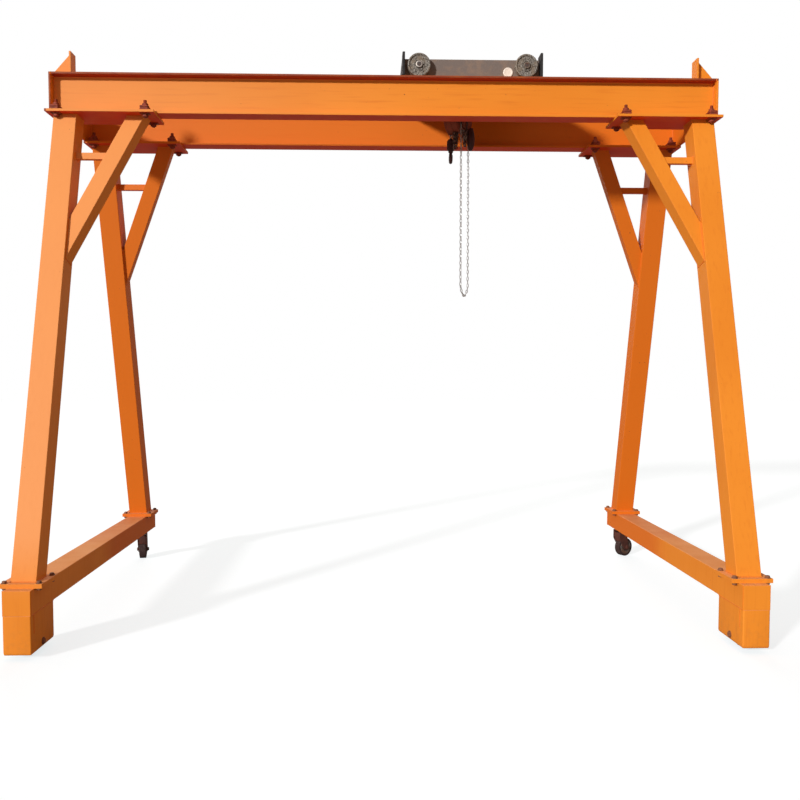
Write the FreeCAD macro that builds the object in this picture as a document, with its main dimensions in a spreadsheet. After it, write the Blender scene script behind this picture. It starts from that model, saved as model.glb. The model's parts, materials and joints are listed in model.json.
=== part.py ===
import FreeCAD, Part
import math
import os
import re
import Sketcher
from FreeCAD import Placement, Rotation, Vector

# Gantry crane, millimetres. X runs along the girders, -Y is the front, Z is up, and the
# origin is on the ground under the middle of the crane.

SIZES = {
    # main frame
    "span": 4000,             # leg centre to leg centre, along X
    "girder_overhang": 105,   # leg centre to the outer face of the girder end plate
    "girder_under": 3160,     # ground to the underside of the girders
    "girder_pitch": 718,      # girder centre to girder centre, along Y
    "girder_high": 250,
    "girder_wide": 118,
    "flange_thick": 13,
    "web_thick": 8,
    "root_radius": 10,
    "end_plate_thick": 12,
    # stops on top of the girders
    "stop_inset": 124,        # girder end to the outer face of the stop plate
    "stop_wide": 90,
    "stop_high": 132,
    "stop_thick": 12,
    "gusset_long": 100,
    "gusset_lip": 20,         # height of the gusset at its outer end
    # plates and clamps under the girder ends
    "head_long": 665,
    "head_wide": 280,
    "head_thick": 15,
    "clamp_inset": 60,        # end of the head plate to the clamp's centre
    "clamp_wide": 50,
    "clamp_grip": 22,         # reach of the clamp over the flange
    "clamp_thick": 14,
    "clamp_step": 80,         # clamp's outer edge beyond the flange edge
    "clamp_play": 1,          # flange edge to the clamp's packing block
    "stud_stand": 42,         # stud standing above its clamp
    # legs, knee braces and tie bars
    "leg_size": 140,
    "leg_wall": 6,
    "foot_spread": 2300,      # leg centre to leg centre on the sills, along Y
    "brace_size": 100,
    "brace_wall": 5,
    "brace_out": 435,         # leg centre to brace centre under the head plate
    "brace_drop": 812,        # head plate down to the brace centre at the leg face
    "tie_size": 40,
    "tie_wall": 3,
    "tie_drop": 260,          # head plate down to the tie bar's centre
    # sills and foot flanges
    "sill_long": 2630,
    "sill_wide": 150,
    "sill_high": 135,
    "sill_wall": 6,
    "cap_thick": 6,
    "sill_under": 245,        # ground to the underside of the sills
    "foot_plate": 230,
    "foot_thick": 12,
    "bolt_radius": 9,
    "bolt_head": 14,          # half the width of a head across its corners
    "bolt_head_high": 11,
    "bolt_tail": 6,           # thread beyond a nut
    "hole_play": 0.5,
    "foot_bolt_inset": 22,
    # wheel housings under the front ends
    "housing_long": 327,
    "housing_wall": 8,
    "housing_under": 32,      # ground to the housing's lower edge
    "front_radius": 62,
    "front_wide": 60,
    "front_hub": 24,
    "hub_play": 2,
    "axle_radius": 10,
    "axle_head": 16,
    "axle_head_high": 10,
    "shaft_fit": 0.05,
    # swivel casters under the rear ends
    "caster_inset": 125,      # sill end to the swivel axis
    "caster_plate": 120,
    "caster_plate_thick": 8,
    "race_radius": 40,
    "race_thick": 12,
    "kingpin_radius": 8,
    "kingpin_nut": 14,
    "kingpin_nut_high": 10,
    "seat_gap": 0.3,
    "caster_trail": 42,
    "caster_radius": 75,
    "caster_wide": 50,
    "caster_hub": 20,
    "caster_axle": 8,
    "fork_crown": 8,
    "fork_plate": 6,
    "fork_gap": 6,
    "fork_half": 40,          # half the length of the crown
    "fork_foot": 20,          # half the width of a fork leg at the axle
    # trolley
    "trolley_rest": 540,      # X of the trolley's middle as it stands
    "channel_past_wheel": 89, # wheel axle to the end of the channel
    "channel_high": 104,
    "channel_wide": 45,
    "channel_wall": 6,
    "channel_clear": 18,      # girder top to the channel's lower edge
    "channel_outset": 4,      # channel web's outer face inside the girder centre line
    "wheel_radius": 72,
    "wheel_wide": 36,
    "wheel_hub": 22,
    "wheel_rim": 12,
    "wheel_dish": 6,
    "wheel_base": 680,
    "wheel_lift": 0.3,
    "wheel_space": 14,        # channel web to the wheel
    "wheel_axle": 12.5,
    "collar_thick": 6,
    "bumper_thick": 16,
    "bumper_wide": 92,
    "bumper_high": 146,
    "bumper_low": 6,          # girder top to the bumper's lower edge
    "cross_size": 60,
    "cross_wall": 4,
    "cross_spread": 540,
    "hanger_thick": 16,
    "hanger_high": 70,
    "hanger_gap": 46,
    "pin_radius": 12,
    # chain hoist
    "hoist_shift": 45,        # hoist axis left of the trolley's middle
    "hoist_turn": -30,        # degrees that the hoist's shaft is turned from X
    "hoist_drop": 150,        # girder top down to the hoist's shaft
    "hoist_radius": 90,
    "hoist_long": 110,
    "hoist_left": 80,         # hoist centre to its closed end
    "hoist_round": 14,
    "lug_radius": 28,
    "lug_thick": 18,
    "hand_wheel_radius": 60,
    "hand_wheel_wide": 22,
    "hand_wheel_lip": 8,
    "hand_wheel_rim": 4,
    "shaft_radius": 15,
    "cover_thick": 10,
    "cover_radius": 76,
    "load_chain_off": 60,     # hoist centre to the load chain, along the shaft
    "load_chain_radius": 10,
    "load_chain_long": 30,
    "guide_radius": 17,
    "guide_drop": 4,          # chain guide below the hoist's drum
    "block_wide": 48,
    "block_high": 80,
    "block_round": 8,
    "hook_radius": 29,        # centre line of the hook's bowl
    "hook_bar": 11,
    "hook_neck": 15,          # block to the top of the bowl's centre line
    "hook_shank": 9,
    "hook_socket": 25,
    "hook_sweep": 285,        # degrees of the bowl
    "hand_chain_bar": 4,
    "hand_chain_low": 2064,   # ground to the bottom of the hand chain
}

CASTER_TURN = {"left": 10, "right": -61}   # degrees that each caster is swung from +Y

doc = FreeCAD.newDocument("GantryCrane")
sheet = doc.addObject("Spreadsheet::Sheet", "Sizes")
for row, (alias, number) in enumerate(SIZES.items(), start=1):
    sheet.set(f"A{row}", alias)
    sheet.set(f"B{row}", str(number))
    sheet.setAlias(f"B{row}", alias)
doc.recompute()

pieces = []


def val(formula):
    """The number that a formula of sheet names comes to."""
    return float(sheet.evalExpression(formula))


def bind(feature, prop, formula):
    """Ties one size of a feature to a formula of sheet names."""
    named = re.sub(r"\b[a-z]+(?:_[a-z]+)*\b",
                   lambda word: f"Sizes.{word.group()}" if word.group() in SIZES else word.group(),
                   formula)
    feature.setExpression(prop, named)


def piece(feature, label):
    """Keeps a finished sub-part under its own name."""
    feature.Label = label
    pieces.append(feature)
    return feature


def gather(label, features):
    """Like solids of one sub-part, side by side in one compound."""
    group = doc.addObject("Part::Compound", label)
    group.Links = features
    return piece(group, label)


def block(name, sizes, corner):
    """A block with three bound sizes, its low corner in place."""
    body = doc.addObject("Part::Box", name)
    for prop, formula in zip(("Length", "Width", "Height"), sizes):
        bind(body, prop, formula)
    body.Placement = Placement(Vector(*corner), Rotation())
    return body


def rod(name, radius, length, start, along):
    """A round bar from start in the direction along."""
    body = doc.addObject("Part::Cylinder", name)
    bind(body, "Radius", radius)
    bind(body, "Height", length)
    body.Placement = Placement(Vector(*start), Rotation(Vector(0, 0, 1), Vector(*along)))
    return body


def hexagon(name, radius, height, start, along):
    """A six-sided head or nut from start in the direction along."""
    body = doc.addObject("Part::Prism", name)
    body.Polygon = 6
    bind(body, "Circumradius", radius)
    bind(body, "Height", height)
    body.Placement = Placement(Vector(*start), Rotation(Vector(0, 0, 1), Vector(*along)))
    return body


def cut(name, base, tool):
    body = doc.addObject("Part::Cut", name)
    body.Base = base
    body.Tool = tool
    return body


def common(name, base, tool):
    body = doc.addObject("Part::Common", name)
    body.Base = base
    body.Tool = tool
    return body


def fuse(name, features):
    body = doc.addObject("Part::MultiFuse", name)
    body.Shapes = features
    return body


def outline(body, role, corners):
    """A closed sketch with straight sides, each corner placed by two bound distances."""
    sketch = body.newObject("Sketcher::SketchObject", body.Name + "Sketch")
    plane = next(item for item in body.Origin.OriginFeatures if item.Role == role)
    sketch.AttachmentSupport = [(plane, "")]
    sketch.MapMode = "FlatFace"
    points = [Vector(val(across), val(up), 0) for across, up in corners]
    for index, point in enumerate(points):
        sketch.addGeometry(Part.LineSegment(point, points[(index + 1) % len(points)]), False)
    for index, formulas in enumerate(corners):
        sketch.addConstraint(Sketcher.Constraint("Coincident", index - 1 if index else len(points) - 1,
                                                 2, index, 1))
        for kind, axis, formula, number in zip(("DistanceX", "DistanceY"), (-2, -1), formulas,
                                               (points[index].x, points[index].y)):
            if formula == "0":
                sketch.addConstraint(Sketcher.Constraint("PointOnObject", index, 1, axis))
                continue
            where = sketch.addConstraint(Sketcher.Constraint(kind, -1, 1, index, 1, number))
            bind(sketch, f"Constraints[{where}]", formula)
    return sketch


def padded(name, role, corners, thick):
    """A plate or bar of the outline's section, padded half to each side of its plane."""
    body = doc.addObject("PartDesign::Body", name)
    sketch = outline(body, role, corners)
    pad = body.newObject("PartDesign::Pad", name + "Pad")
    pad.Profile = sketch
    bind(pad, "Length", thick)
    pad.Midplane = True
    body.Tip = pad
    return body


def turned(name, corners):
    """A round piece about its own Y axis. Corners are radius and place along the axis."""
    body = doc.addObject("PartDesign::Body", name)
    sketch = outline(body, "XY_Plane", corners)
    spin = body.newObject("PartDesign::Revolution", name + "Turn")
    spin.Profile = sketch
    spin.ReferenceAxis = (sketch, ["V_Axis"])
    spin.Angle = 360
    body.Tip = spin
    return body


def drilled(plate, centres, thick):
    """A plate with upright bolt holes at the centres."""
    low = plate.Placement.Base.z
    holes = [rod(f"{plate.Name}_hole_{number}", "bolt_radius + hole_play", thick, (x, y, low), (0, 0, 1))
             for number, (x, y) in enumerate(centres, start=1)]
    return cut(plate.Name + "_drilled", plate, fuse(plate.Name + "_holes", holes))


def place(feature, base, rotation=Rotation()):
    feature.Placement = Placement(Vector(*base), rotation)
    return feature


SIDES = {"left": -1, "right": 1}
ENDS = {"front": -1, "rear": 1}

girder_end = val("span / 2 + girder_overhang - end_plate_thick")
girder_y = val("girder_pitch / 2")
girder_top = val("girder_under + girder_high")
head_under = val("girder_under - head_thick")
sill_top = val("sill_under + sill_high")
leg_foot = val("sill_under + sill_high + 2 * foot_thick")
leg_x = val("span / 2")
slope = val("(foot_spread / 2 - girder_pitch / 2) / (girder_under - sill_under - sill_high)")
lean = math.atan(slope)


def leg_y(height):
    """How far from the middle the leg's centre line is at a height."""
    return girder_y + (val("girder_under") - height) * slope


# girders: rolled I-beams with rounded roots, closed by a plate over both at each end

def make_girder(name):
    body = doc.addObject("PartDesign::Body", name)
    left_web = "girder_wide / 2 - web_thick / 2"
    right_web = "girder_wide / 2 + web_thick / 2"
    upper = "girder_high - flange_thick"
    sketch = outline(body, "YZ_Plane", [
        ("0", "0"), ("girder_wide", "0"), ("girder_wide", "flange_thick"),
        (right_web, "flange_thick"), (right_web, upper), ("girder_wide", upper),
        ("girder_wide", "girder_high"), ("0", "girder_high"), ("0", upper),
        (left_web, upper), (left_web, "flange_thick"), ("0", "flange_thick")])
    pad = body.newObject("PartDesign::Pad", name + "Pad")
    pad.Profile = sketch
    bind(pad, "Length", "span + 2 * girder_overhang - 2 * end_plate_thick")
    pad.Midplane = True
    doc.recompute()
    roots = []
    for number, edge in enumerate(pad.Shape.Edges, start=1):
        box = edge.BoundBox
        beside_web = abs(abs(box.Center.y - val("girder_wide / 2")) - val("web_thick / 2")) < 0.01
        if beside_web and box.XLength > 1 and abs(box.ZLength) < 0.01:
            roots.append(f"Edge{number}")
    fillet = body.newObject("PartDesign::Fillet", name + "Roots")
    fillet.Base = (pad, roots)
    bind(fillet, "Radius", "root_radius")
    body.Tip = fillet
    return body


def make_girders():
    for end, sign in ENDS.items():
        girder = make_girder(f"{end}_girder")
        place(girder, (0, sign * girder_y - val("girder_wide / 2"), val("girder_under")))
        piece(girder, f"{end}_girder")
    for side, sign in SIDES.items():
        low_x = girder_end if sign > 0 else -val("span / 2 + girder_overhang")
        plate = block(f"end_plate_{side}",
                      ("end_plate_thick", "girder_pitch + girder_wide", "girder_high"),
                      (low_x, -val("(girder_pitch + girder_wide) / 2"), val("girder_under")))
        piece(plate, f"end_plate_{side}")


# trolley stops: an upright plate across each flange, with a gusset towards the girder's end

def make_stops():
    solids = []
    for side, sx in SIDES.items():
        for end, sy in ENDS.items():
            name = f"stop_{end}_{side}"
            outer_x = val("span / 2 + girder_overhang - stop_inset")
            plate = block(name + "_plate", ("stop_thick", "stop_wide", "stop_high"),
                          (outer_x - val("stop_thick"), -val("stop_wide / 2"), 0))
            gusset = padded(name + "_gusset", "XZ_Plane",
                            [("0", "0"), ("gusset_long", "0"), ("gusset_long", "gusset_lip"),
                             ("0", "stop_high")], "stop_thick")
            place(gusset, (outer_x, 0, 0))
            stop = fuse(name, [plate, gusset])
            turn = Rotation(Vector(0, 0, 1), 0 if sx > 0 else 180)
            solids.append(place(stop, (0, sy * girder_y, girder_top), turn))
    gather("trolley_stops", solids)


# head plates and the clamps that hold the girders' lower flanges down on them

def make_head_plates():
    plates = []
    clamps = []
    outer = val("span / 2 + girder_overhang")
    inner = outer - val("head_long")
    inset = val("clamp_inset")
    for side, sx in SIDES.items():
        for end, sy in ENDS.items():
            name = f"{end}_{side}"
            middle = sy * girder_y
            blank = block(f"head_plate_{name}", ("head_long", "head_wide", "head_thick"),
                          (inner if sx > 0 else -outer, middle - val("head_wide / 2"), head_under))
            spots = [(sx * along, middle, across)
                     for along in (inner + inset, outer - inset) for across in (-1, 1)]
            for number, (x, y, across) in enumerate(spots, start=1):
                clamps.append(make_clamp(f"clamp_{name}_{number}", x, y, across))
            bolt_y = val("girder_wide / 2 + clamp_step / 2")
            centres = [(x, y + across * bolt_y) for x, y, across in spots]
            plates.append(drilled(blank, centres, "head_thick"))
    gather("head_plates", plates)
    gather("girder_clamps", clamps)


def make_clamp(name, centre_x, centre_y, across):
    """A packing block beside the flange, a bar over both and a bolt down through them."""
    edge = val("girder_wide / 2")
    half = val("clamp_wide / 2")
    bolt_y = edge + val("clamp_step / 2")
    bar_top = val("flange_thick + clamp_thick")
    under = -val("head_thick")
    packing = block(name + "_packing", ("clamp_wide", "clamp_step - clamp_play", "flange_thick"),
                    (-half, edge + val("clamp_play"), 0))
    bar = block(name + "_bar", ("clamp_wide", "clamp_step + clamp_grip", "clamp_thick"),
                (-half, edge - val("clamp_grip"), val("flange_thick")))
    nut = hexagon(name + "_nut", "bolt_head", "bolt_head_high", (0, bolt_y, bar_top), (0, 0, 1))
    stud = rod(name + "_stud", "bolt_radius", "stud_stand", (0, bolt_y, bar_top), (0, 0, 1))
    head = hexagon(name + "_head", "bolt_head", "bolt_head_high", (0, bolt_y, under), (0, 0, -1))
    shank = rod(name + "_shank", "bolt_radius", "head_thick + flange_thick",
                (0, bolt_y, under), (0, 0, 1))
    clamp = fuse(name, [packing, bar, nut, stud, head, shank])
    turn = Rotation(Vector(0, 0, 1), 0 if across > 0 else 180)
    return place(clamp, (centre_x, centre_y, val("girder_under")), turn)


# legs, knee braces and tie bars: square tubes in one leaning plane at each corner

def square_tube(name, side, wall, middle, along, sideways):
    """A long square tube through a point. Returns its solid outside and the tube."""
    turn = Rotation(Vector(*sideways), Vector(), Vector(*along), "ZXY")
    reach = val("girder_under")
    parts = []
    for suffix, formula in (("_blank", side), ("_bore", f"{side} - 2 * {wall}")):
        half = val(formula) / 2
        bar = block(name + suffix, (formula, formula, "2 * girder_under"), (0, 0, 0))
        shift = turn.multVec(Vector(-half, -half, -reach))
        bar.Placement = Placement(Vector(*middle) + shift, turn)
        parts.append(bar)
    return parts[0], cut(name + "_tube", parts[0], parts[1])


def make_corner(side, sx, end, sy):
    """One leg with its knee brace and tie bar."""
    name = f"{end}_{side}"
    width = val("leg_size")
    face_x = leg_x - width / 2

    foot = (sx * leg_x, sy * leg_y(leg_foot), leg_foot)
    leg_line = (0, -sy * slope, 1)
    leg_blank, leg_tube = square_tube(f"leg_{name}", "leg_size", "leg_wall", foot, leg_line, (1, 0, 0))
    slab = block(f"leg_{name}_slab",
                 ("2 * leg_size", "foot_spread", "girder_under - head_thick - sill_under"
                                                  " - sill_high - 2 * foot_thick"),
                 (foot[0] - width, min(0, sy * val("foot_spread")), leg_foot))
    piece(common(f"leg_{name}", leg_tube, slab), f"leg_{name}")

    low_z = head_under - val("brace_drop")
    top_x = leg_x - val("brace_out")
    low = (sx * face_x, sy * leg_y(low_z), low_z)
    top = (sx * top_x, sy * leg_y(head_under), head_under)
    brace_line = [high - under for high, under in zip(top, low)]
    lean_plane = Vector(0, 1, sy * slope)
    across = lean_plane.cross(Vector(*brace_line))
    brace_blank, brace_tube = square_tube(f"brace_{name}", "brace_size", "brace_wall", low,
                                          brace_line, tuple(across))
    window = block(f"brace_{name}_window",
                   ("span / 2 - leg_size / 2", "foot_spread", "girder_under - head_thick"),
                   (0 if sx > 0 else -face_x, min(0, sy * val("foot_spread")), 0))
    brace = common(f"brace_{name}", brace_tube, window)

    tie_z = head_under - val("tie_drop")
    tie_y = sy * leg_y(tie_z)
    bars = []
    for suffix, formula in (("_blank", "tie_size"), ("_bore", "tie_size - 2 * tie_wall")):
        half = val(formula) / 2
        bars.append(block(f"tie_{name}{suffix}", ("brace_out", formula, formula),
                          (face_x - val("brace_out") if sx > 0 else -face_x, tie_y - half, tie_z - half)))
    tube = cut(f"tie_{name}_tube", bars[0], bars[1])
    outside = cut(f"tie_{name}_both", tube, brace_blank)
    beyond = block(f"tie_{name}_beyond", ("brace_out", "tie_size", "2 * tie_size"),
                   (0, tie_y - val("tie_size / 2"), tie_z - val("tie_size")))
    brace_x = face_x - (tie_z - low_z) / (head_under - low_z) * (face_x - top_x)
    beyond.Placement.Base.x = brace_x - val("brace_out") if sx > 0 else -brace_x
    tie = cut(f"tie_{name}", outside, beyond)
    return brace, tie


def make_side_frames():
    ties = []
    for side, sx in SIDES.items():
        braces = []
        for end, sy in ENDS.items():
            brace, tie = make_corner(side, sx, end, sy)
            braces.append(brace)
            ties.append(tie)
        gather(f"knee_braces_{side}", braces)
    gather("tie_bars", ties)


# sills, their end caps and the bolted flanges under the legs

def make_sills():
    caps = []
    reach = val("sill_long / 2")
    for side, sx in SIDES.items():
        corner = (sx * leg_x - val("sill_wide / 2"), val("cap_thick") - reach, val("sill_under"))
        blank = block(f"sill_{side}_blank", ("sill_wide", "sill_long - 2 * cap_thick", "sill_high"), corner)
        wall = val("sill_wall")
        bore = block(f"sill_{side}_bore", ("sill_wide - 2 * sill_wall", "sill_long - 2 * cap_thick",
                                           "sill_high - 2 * sill_wall"),
                     (corner[0] + wall, corner[1], corner[2] + wall))
        piece(cut(f"sill_beam_{side}", blank, bore), f"sill_beam_{side}")
        for end, low_y in (("front", -reach), ("rear", reach - val("cap_thick"))):
            caps.append(block(f"sill_cap_{end}_{side}", ("sill_wide", "cap_thick", "sill_high"),
                              (corner[0], low_y, corner[2])))
    gather("sill_end_caps", caps)


def make_foot_flanges():
    layers = {"sill_seat_plates": [], "leg_foot_plates": []}
    bolts = []
    half = val("foot_plate / 2")
    out = half - val("foot_bolt_inset")
    for side, sx in SIDES.items():
        for end, sy in ENDS.items():
            x, y = sx * leg_x, sy * leg_y(leg_foot)
            centres = [(x + a * out, y + b * out) for a in (-1, 1) for b in (-1, 1)]
            for level, (label, plates) in enumerate(layers.items()):
                low = sill_top + level * val("foot_thick")
                blank = block(f"{label}_{end}_{side}", ("foot_plate", "foot_plate", "foot_thick"),
                              (x - half, y - half, low))
                plates.append(drilled(blank, centres, "foot_thick"))
            for number, (bolt_x, bolt_y) in enumerate(centres, start=1):
                bolts.append(make_bolt(f"foot_bolt_{end}_{side}_{number}", "2 * foot_thick",
                                       (bolt_x, bolt_y, sill_top)))
    for label, plates in layers.items():
        gather(label, plates)
    gather("foot_bolts", bolts)


def make_bolt(name, grip, start):
    """A hexagon bolt that stands up through a joint, head at the bottom and nut on top."""
    head = hexagon(name + "_head", "bolt_head", "bolt_head_high", (0, 0, 0), (0, 0, -1))
    nut = hexagon(name + "_nut", "bolt_head", "bolt_head_high", (0, 0, val(grip)), (0, 0, 1))
    shank = rod(name + "_shank", "bolt_radius", f"{grip} + bolt_head_high + bolt_tail",
                (0, 0, 0), (0, 0, 1))
    return place(fuse(name, [head, nut, shank]), start)


# front wheels, each on an axle bolt in a housing that is open at the bottom

def make_front_wheels():
    reach = val("sill_long / 2")
    axle_y = -reach + val("housing_long / 2")
    axle_z = val("front_radius")
    axles = []
    for side, sx in SIDES.items():
        x = sx * leg_x
        low = (x - val("sill_wide / 2"), -reach, val("housing_under"))
        wall = val("housing_wall")
        blank = block(f"housing_{side}_blank", ("sill_wide", "housing_long", "sill_under - housing_under"),
                      low)
        well = block(f"housing_{side}_well", ("sill_wide - 2 * housing_wall",
                                              "housing_long - 2 * housing_wall",
                                              "sill_under - housing_under - housing_wall"),
                     (low[0] + wall, low[1] + wall, low[2]))
        hole = rod(f"housing_{side}_hole", "axle_radius + hole_play", "sill_wide",
                   (low[0], axle_y, axle_z), (1, 0, 0))
        shell = cut(f"housing_{side}_shell", blank, well)
        piece(cut(f"wheel_housing_{side}", shell, hole), f"wheel_housing_{side}")

        tread_low = "sill_wide / 2 - housing_wall - hub_play - front_wide / 2"
        hub_long = "sill_wide - 2 * housing_wall - 2 * hub_play"
        wheel = turned(f"front_wheel_{side}", [
            ("axle_radius + shaft_fit", "0"), ("front_hub", "0"), ("front_hub", tread_low),
            ("front_radius", tread_low), ("front_radius", tread_low + " + front_wide"),
            ("front_hub", tread_low + " + front_wide"), ("front_hub", hub_long),
            ("axle_radius + shaft_fit", hub_long)])
        place(wheel, (x + val(hub_long) / 2, axle_y, axle_z), Rotation(Vector(0, 0, 1), 90))
        piece(wheel, f"front_wheel_{side}")

        shank = rod(f"front_axle_{side}_shank", "axle_radius", "sill_wide", low[:1] + (0, 0), (1, 0, 0))
        heads = [hexagon(f"front_axle_{side}_head", "axle_head", "axle_head_high", low[:1] + (0, 0), (-1, 0, 0)),
                 hexagon(f"front_axle_{side}_nut", "axle_head", "axle_head_high",
                         (low[0] + val("sill_wide"), 0, 0), (1, 0, 0))]
        axles.append(place(fuse(f"front_axle_{side}", [shank] + heads), (0, axle_y, axle_z)))
    gather("front_axles", axles)


# swivel casters: plate with race and kingpin, fork with its axle, and wheel

def make_casters():
    pivot_y = val("sill_long / 2 - caster_inset")
    plate_low = val("sill_under - caster_plate_thick")
    race_low = plate_low - val("race_thick")
    plates = []
    for side, sx in SIDES.items():
        pivot = (sx * leg_x, pivot_y)
        half = val("caster_plate / 2")
        flange = block(f"caster_{side}_flange", ("caster_plate", "caster_plate", "caster_plate_thick"),
                       (pivot[0] - half, pivot[1] - half, plate_low))
        race = rod(f"caster_{side}_race", "race_radius", "race_thick", pivot + (race_low,), (0, 0, 1))
        pin_long = "fork_crown + 2 * seat_gap + kingpin_nut_high"
        pin = rod(f"caster_{side}_pin", "kingpin_radius", pin_long, pivot + (race_low,), (0, 0, -1))
        nut_top = race_low - val("fork_crown + 2 * seat_gap")
        nut = rod(f"caster_{side}_nut", "kingpin_nut", "kingpin_nut_high", pivot + (nut_top,), (0, 0, -1))
        plates.append(fuse(f"caster_plate_{side}", [flange, race, pin, nut]))

        swivel = Rotation(Vector(0, 0, 1), CASTER_TURN[side])
        fork = make_fork(f"caster_fork_{side}", race_low - val("seat_gap"))
        piece(place(fork, pivot + (0,), swivel), f"caster_fork_{side}")

        hub_long = "caster_wide + 2 * fork_gap - 2 * hub_play"
        wheel = turned(f"caster_wheel_{side}", [
            ("caster_axle + shaft_fit", "0"), ("caster_hub", "0"), ("caster_hub", "fork_gap - hub_play"),
            ("caster_radius", "fork_gap - hub_play"),
            ("caster_radius", "fork_gap - hub_play + caster_wide"),
            ("caster_hub", "fork_gap - hub_play + caster_wide"), ("caster_hub", hub_long),
            ("caster_axle + shaft_fit", hub_long)])
        offset = swivel.multVec(Vector(val(hub_long) / 2, val("caster_trail"), 0))
        turn = swivel.multiply(Rotation(Vector(0, 0, 1), 90))
        place(wheel, (pivot[0] + offset.x, pivot[1] + offset.y, val("caster_radius")), turn)
        piece(wheel, f"caster_wheel_{side}")
    gather("caster_plates", plates)


def make_fork(name, top):
    """A crown with two legs that run back to the axle, cut from one profile about its swivel."""
    start = val("fork_half")
    sketch_top = f"{top:g}"
    back = "fork_half + caster_trail"
    profile = padded(name + "_profile", "YZ_Plane", [
        ("0", sketch_top), ("2 * fork_half", sketch_top),
        (f"{back} + fork_foot", "caster_radius + fork_foot"),
        (f"{back} + fork_foot", "caster_radius - fork_foot"),
        (f"{back} - fork_foot", "caster_radius - fork_foot"),
        ("0", "caster_radius + 4 * fork_foot")], "caster_wide + 2 * fork_gap + 2 * fork_plate")
    place(profile, (0, -start, 0))
    inner = "caster_wide + 2 * fork_gap"
    slot = block(name + "_slot", (inner, "4 * fork_half", f"{sketch_top} - fork_crown"),
                 (-val(inner) / 2, -2 * start, 0))
    slot.Placement.Base.y = -start
    hole = rod(name + "_hole", "kingpin_radius + shaft_fit", "2 * fork_crown",
               (0, 0, top - val("2 * fork_crown")), (0, 0, 1))
    forged = cut(name + "_bored", cut(name + "_forged", profile, slot), hole)
    grip = val("caster_wide / 2 + fork_gap + fork_plate")
    axle_at = (val("caster_trail"), val("caster_radius"))
    shank = rod(name + "_axle", "caster_axle", f"{inner} + 2 * fork_plate", (-grip, *axle_at), (1, 0, 0))
    heads = [hexagon(f"{name}_axle_{tag}", "bolt_head", "bolt_head_high", (sign * grip, *axle_at), (sign, 0, 0))
             for tag, sign in (("head", 1), ("nut", -1))]
    return fuse(name, [forged, shank] + heads)


# trolley: two channels on four wheels, cross tubes, bumpers and the bars that carry the hoist

def make_trolley():
    rest = val("trolley_rest")
    web_y = girder_y - val("channel_outset")
    low_z = girder_top + val("channel_clear")
    wheel_z = girder_top + val("wheel_lift + wheel_radius")
    wall = val("channel_wall")
    axles = []
    bumpers = []
    for end, sy in ENDS.items():
        name = f"trolley_channel_{end}"
        inner_y = web_y - val("channel_wide")
        blank = block(name + "_blank", ("wheel_base + 2 * channel_past_wheel", "channel_wide", "channel_high"),
                      (rest - val("wheel_base / 2 + channel_past_wheel"), inner_y if sy > 0 else -web_y, low_z))
        hollow = block(name + "_hollow", ("wheel_base + 2 * channel_past_wheel", "channel_wide - channel_wall",
                                          "channel_high - 2 * channel_wall"),
                       (rest - val("wheel_base / 2 + channel_past_wheel"), inner_y if sy > 0 else wall - web_y, low_z + wall))
        shape = cut(name + "_shape", blank, hollow)
        holes = []
        for side, sx in SIDES.items():
            x = rest + sx * val("wheel_base / 2")
            outward = (0, sy, 0)
            holes.append(rod(f"{name}_{side}_hole", "wheel_axle + hole_play", "channel_wide",
                             (x, sy * inner_y, wheel_z), outward))
            make_trolley_wheel(f"trolley_wheel_{end}_{side}", x, sy * (web_y + val("hub_play")), wheel_z, sy)
            axles.append(make_trolley_axle(f"trolley_axle_{end}_{side}", x, sy * web_y, wheel_z, sy))
            low_x = rest + sx * val("wheel_base / 2 + channel_past_wheel") - (0 if sx > 0 else val("bumper_thick"))
            bumpers.append(block(f"bumper_{end}_{side}", ("bumper_thick", "bumper_wide", "bumper_high"),
                                 (low_x, sy * girder_y - val("bumper_wide / 2"),
                                  girder_top + val("bumper_low"))))
        piece(cut(name, shape, fuse(name + "_holes", holes)), name)
    gather("trolley_axles", axles)
    gather("trolley_bumpers", bumpers)
    make_cross_members(web_y - wall, low_z + val("channel_high / 2"))


def make_trolley_wheel(name, x, y, z, sy):
    """A cast wheel with a dished outer face."""
    inner = "wheel_space - hub_play"
    outer = f"{inner} + wheel_wide"
    hub_end = f"{outer} + wheel_dish / 2"
    wheel = turned(name, [
        ("wheel_axle + shaft_fit", "0"), ("wheel_hub", "0"), ("wheel_hub", inner),
        ("wheel_radius", inner), ("wheel_radius", outer), ("wheel_radius - wheel_rim", outer),
        ("wheel_radius - wheel_rim", f"{outer} - wheel_dish"), ("wheel_hub", f"{outer} - wheel_dish"),
        ("wheel_hub", hub_end), ("wheel_axle + shaft_fit", hub_end)])
    place(wheel, (x, y, z), Rotation(Vector(0, 0, 1), 0 if sy > 0 else 180))
    return piece(wheel, name)


def make_trolley_axle(name, x, y, z, sy):
    """A stub axle through the channel's web, with a nut inside it and a collar outside the wheel."""
    wall = val("channel_wall")
    far = val("wheel_space + wheel_wide + wheel_dish / 2 + seat_gap")
    nut = hexagon(name + "_nut", "axle_head + 4", "axle_head_high", (0, -wall, 0), (0, -1, 0))
    shank = rod(name + "_shank", "wheel_axle", f"channel_wall + {far:g} + collar_thick",
                (0, -wall, 0), (0, 1, 0))
    collar = rod(name + "_collar", "axle_head + 1", "collar_thick", (0, far, 0), (0, 1, 0))
    axle = fuse(name, [nut, shank, collar])
    return place(axle, (x, y, z), Rotation(Vector(0, 0, 1), 0 if sy > 0 else 180))


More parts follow.
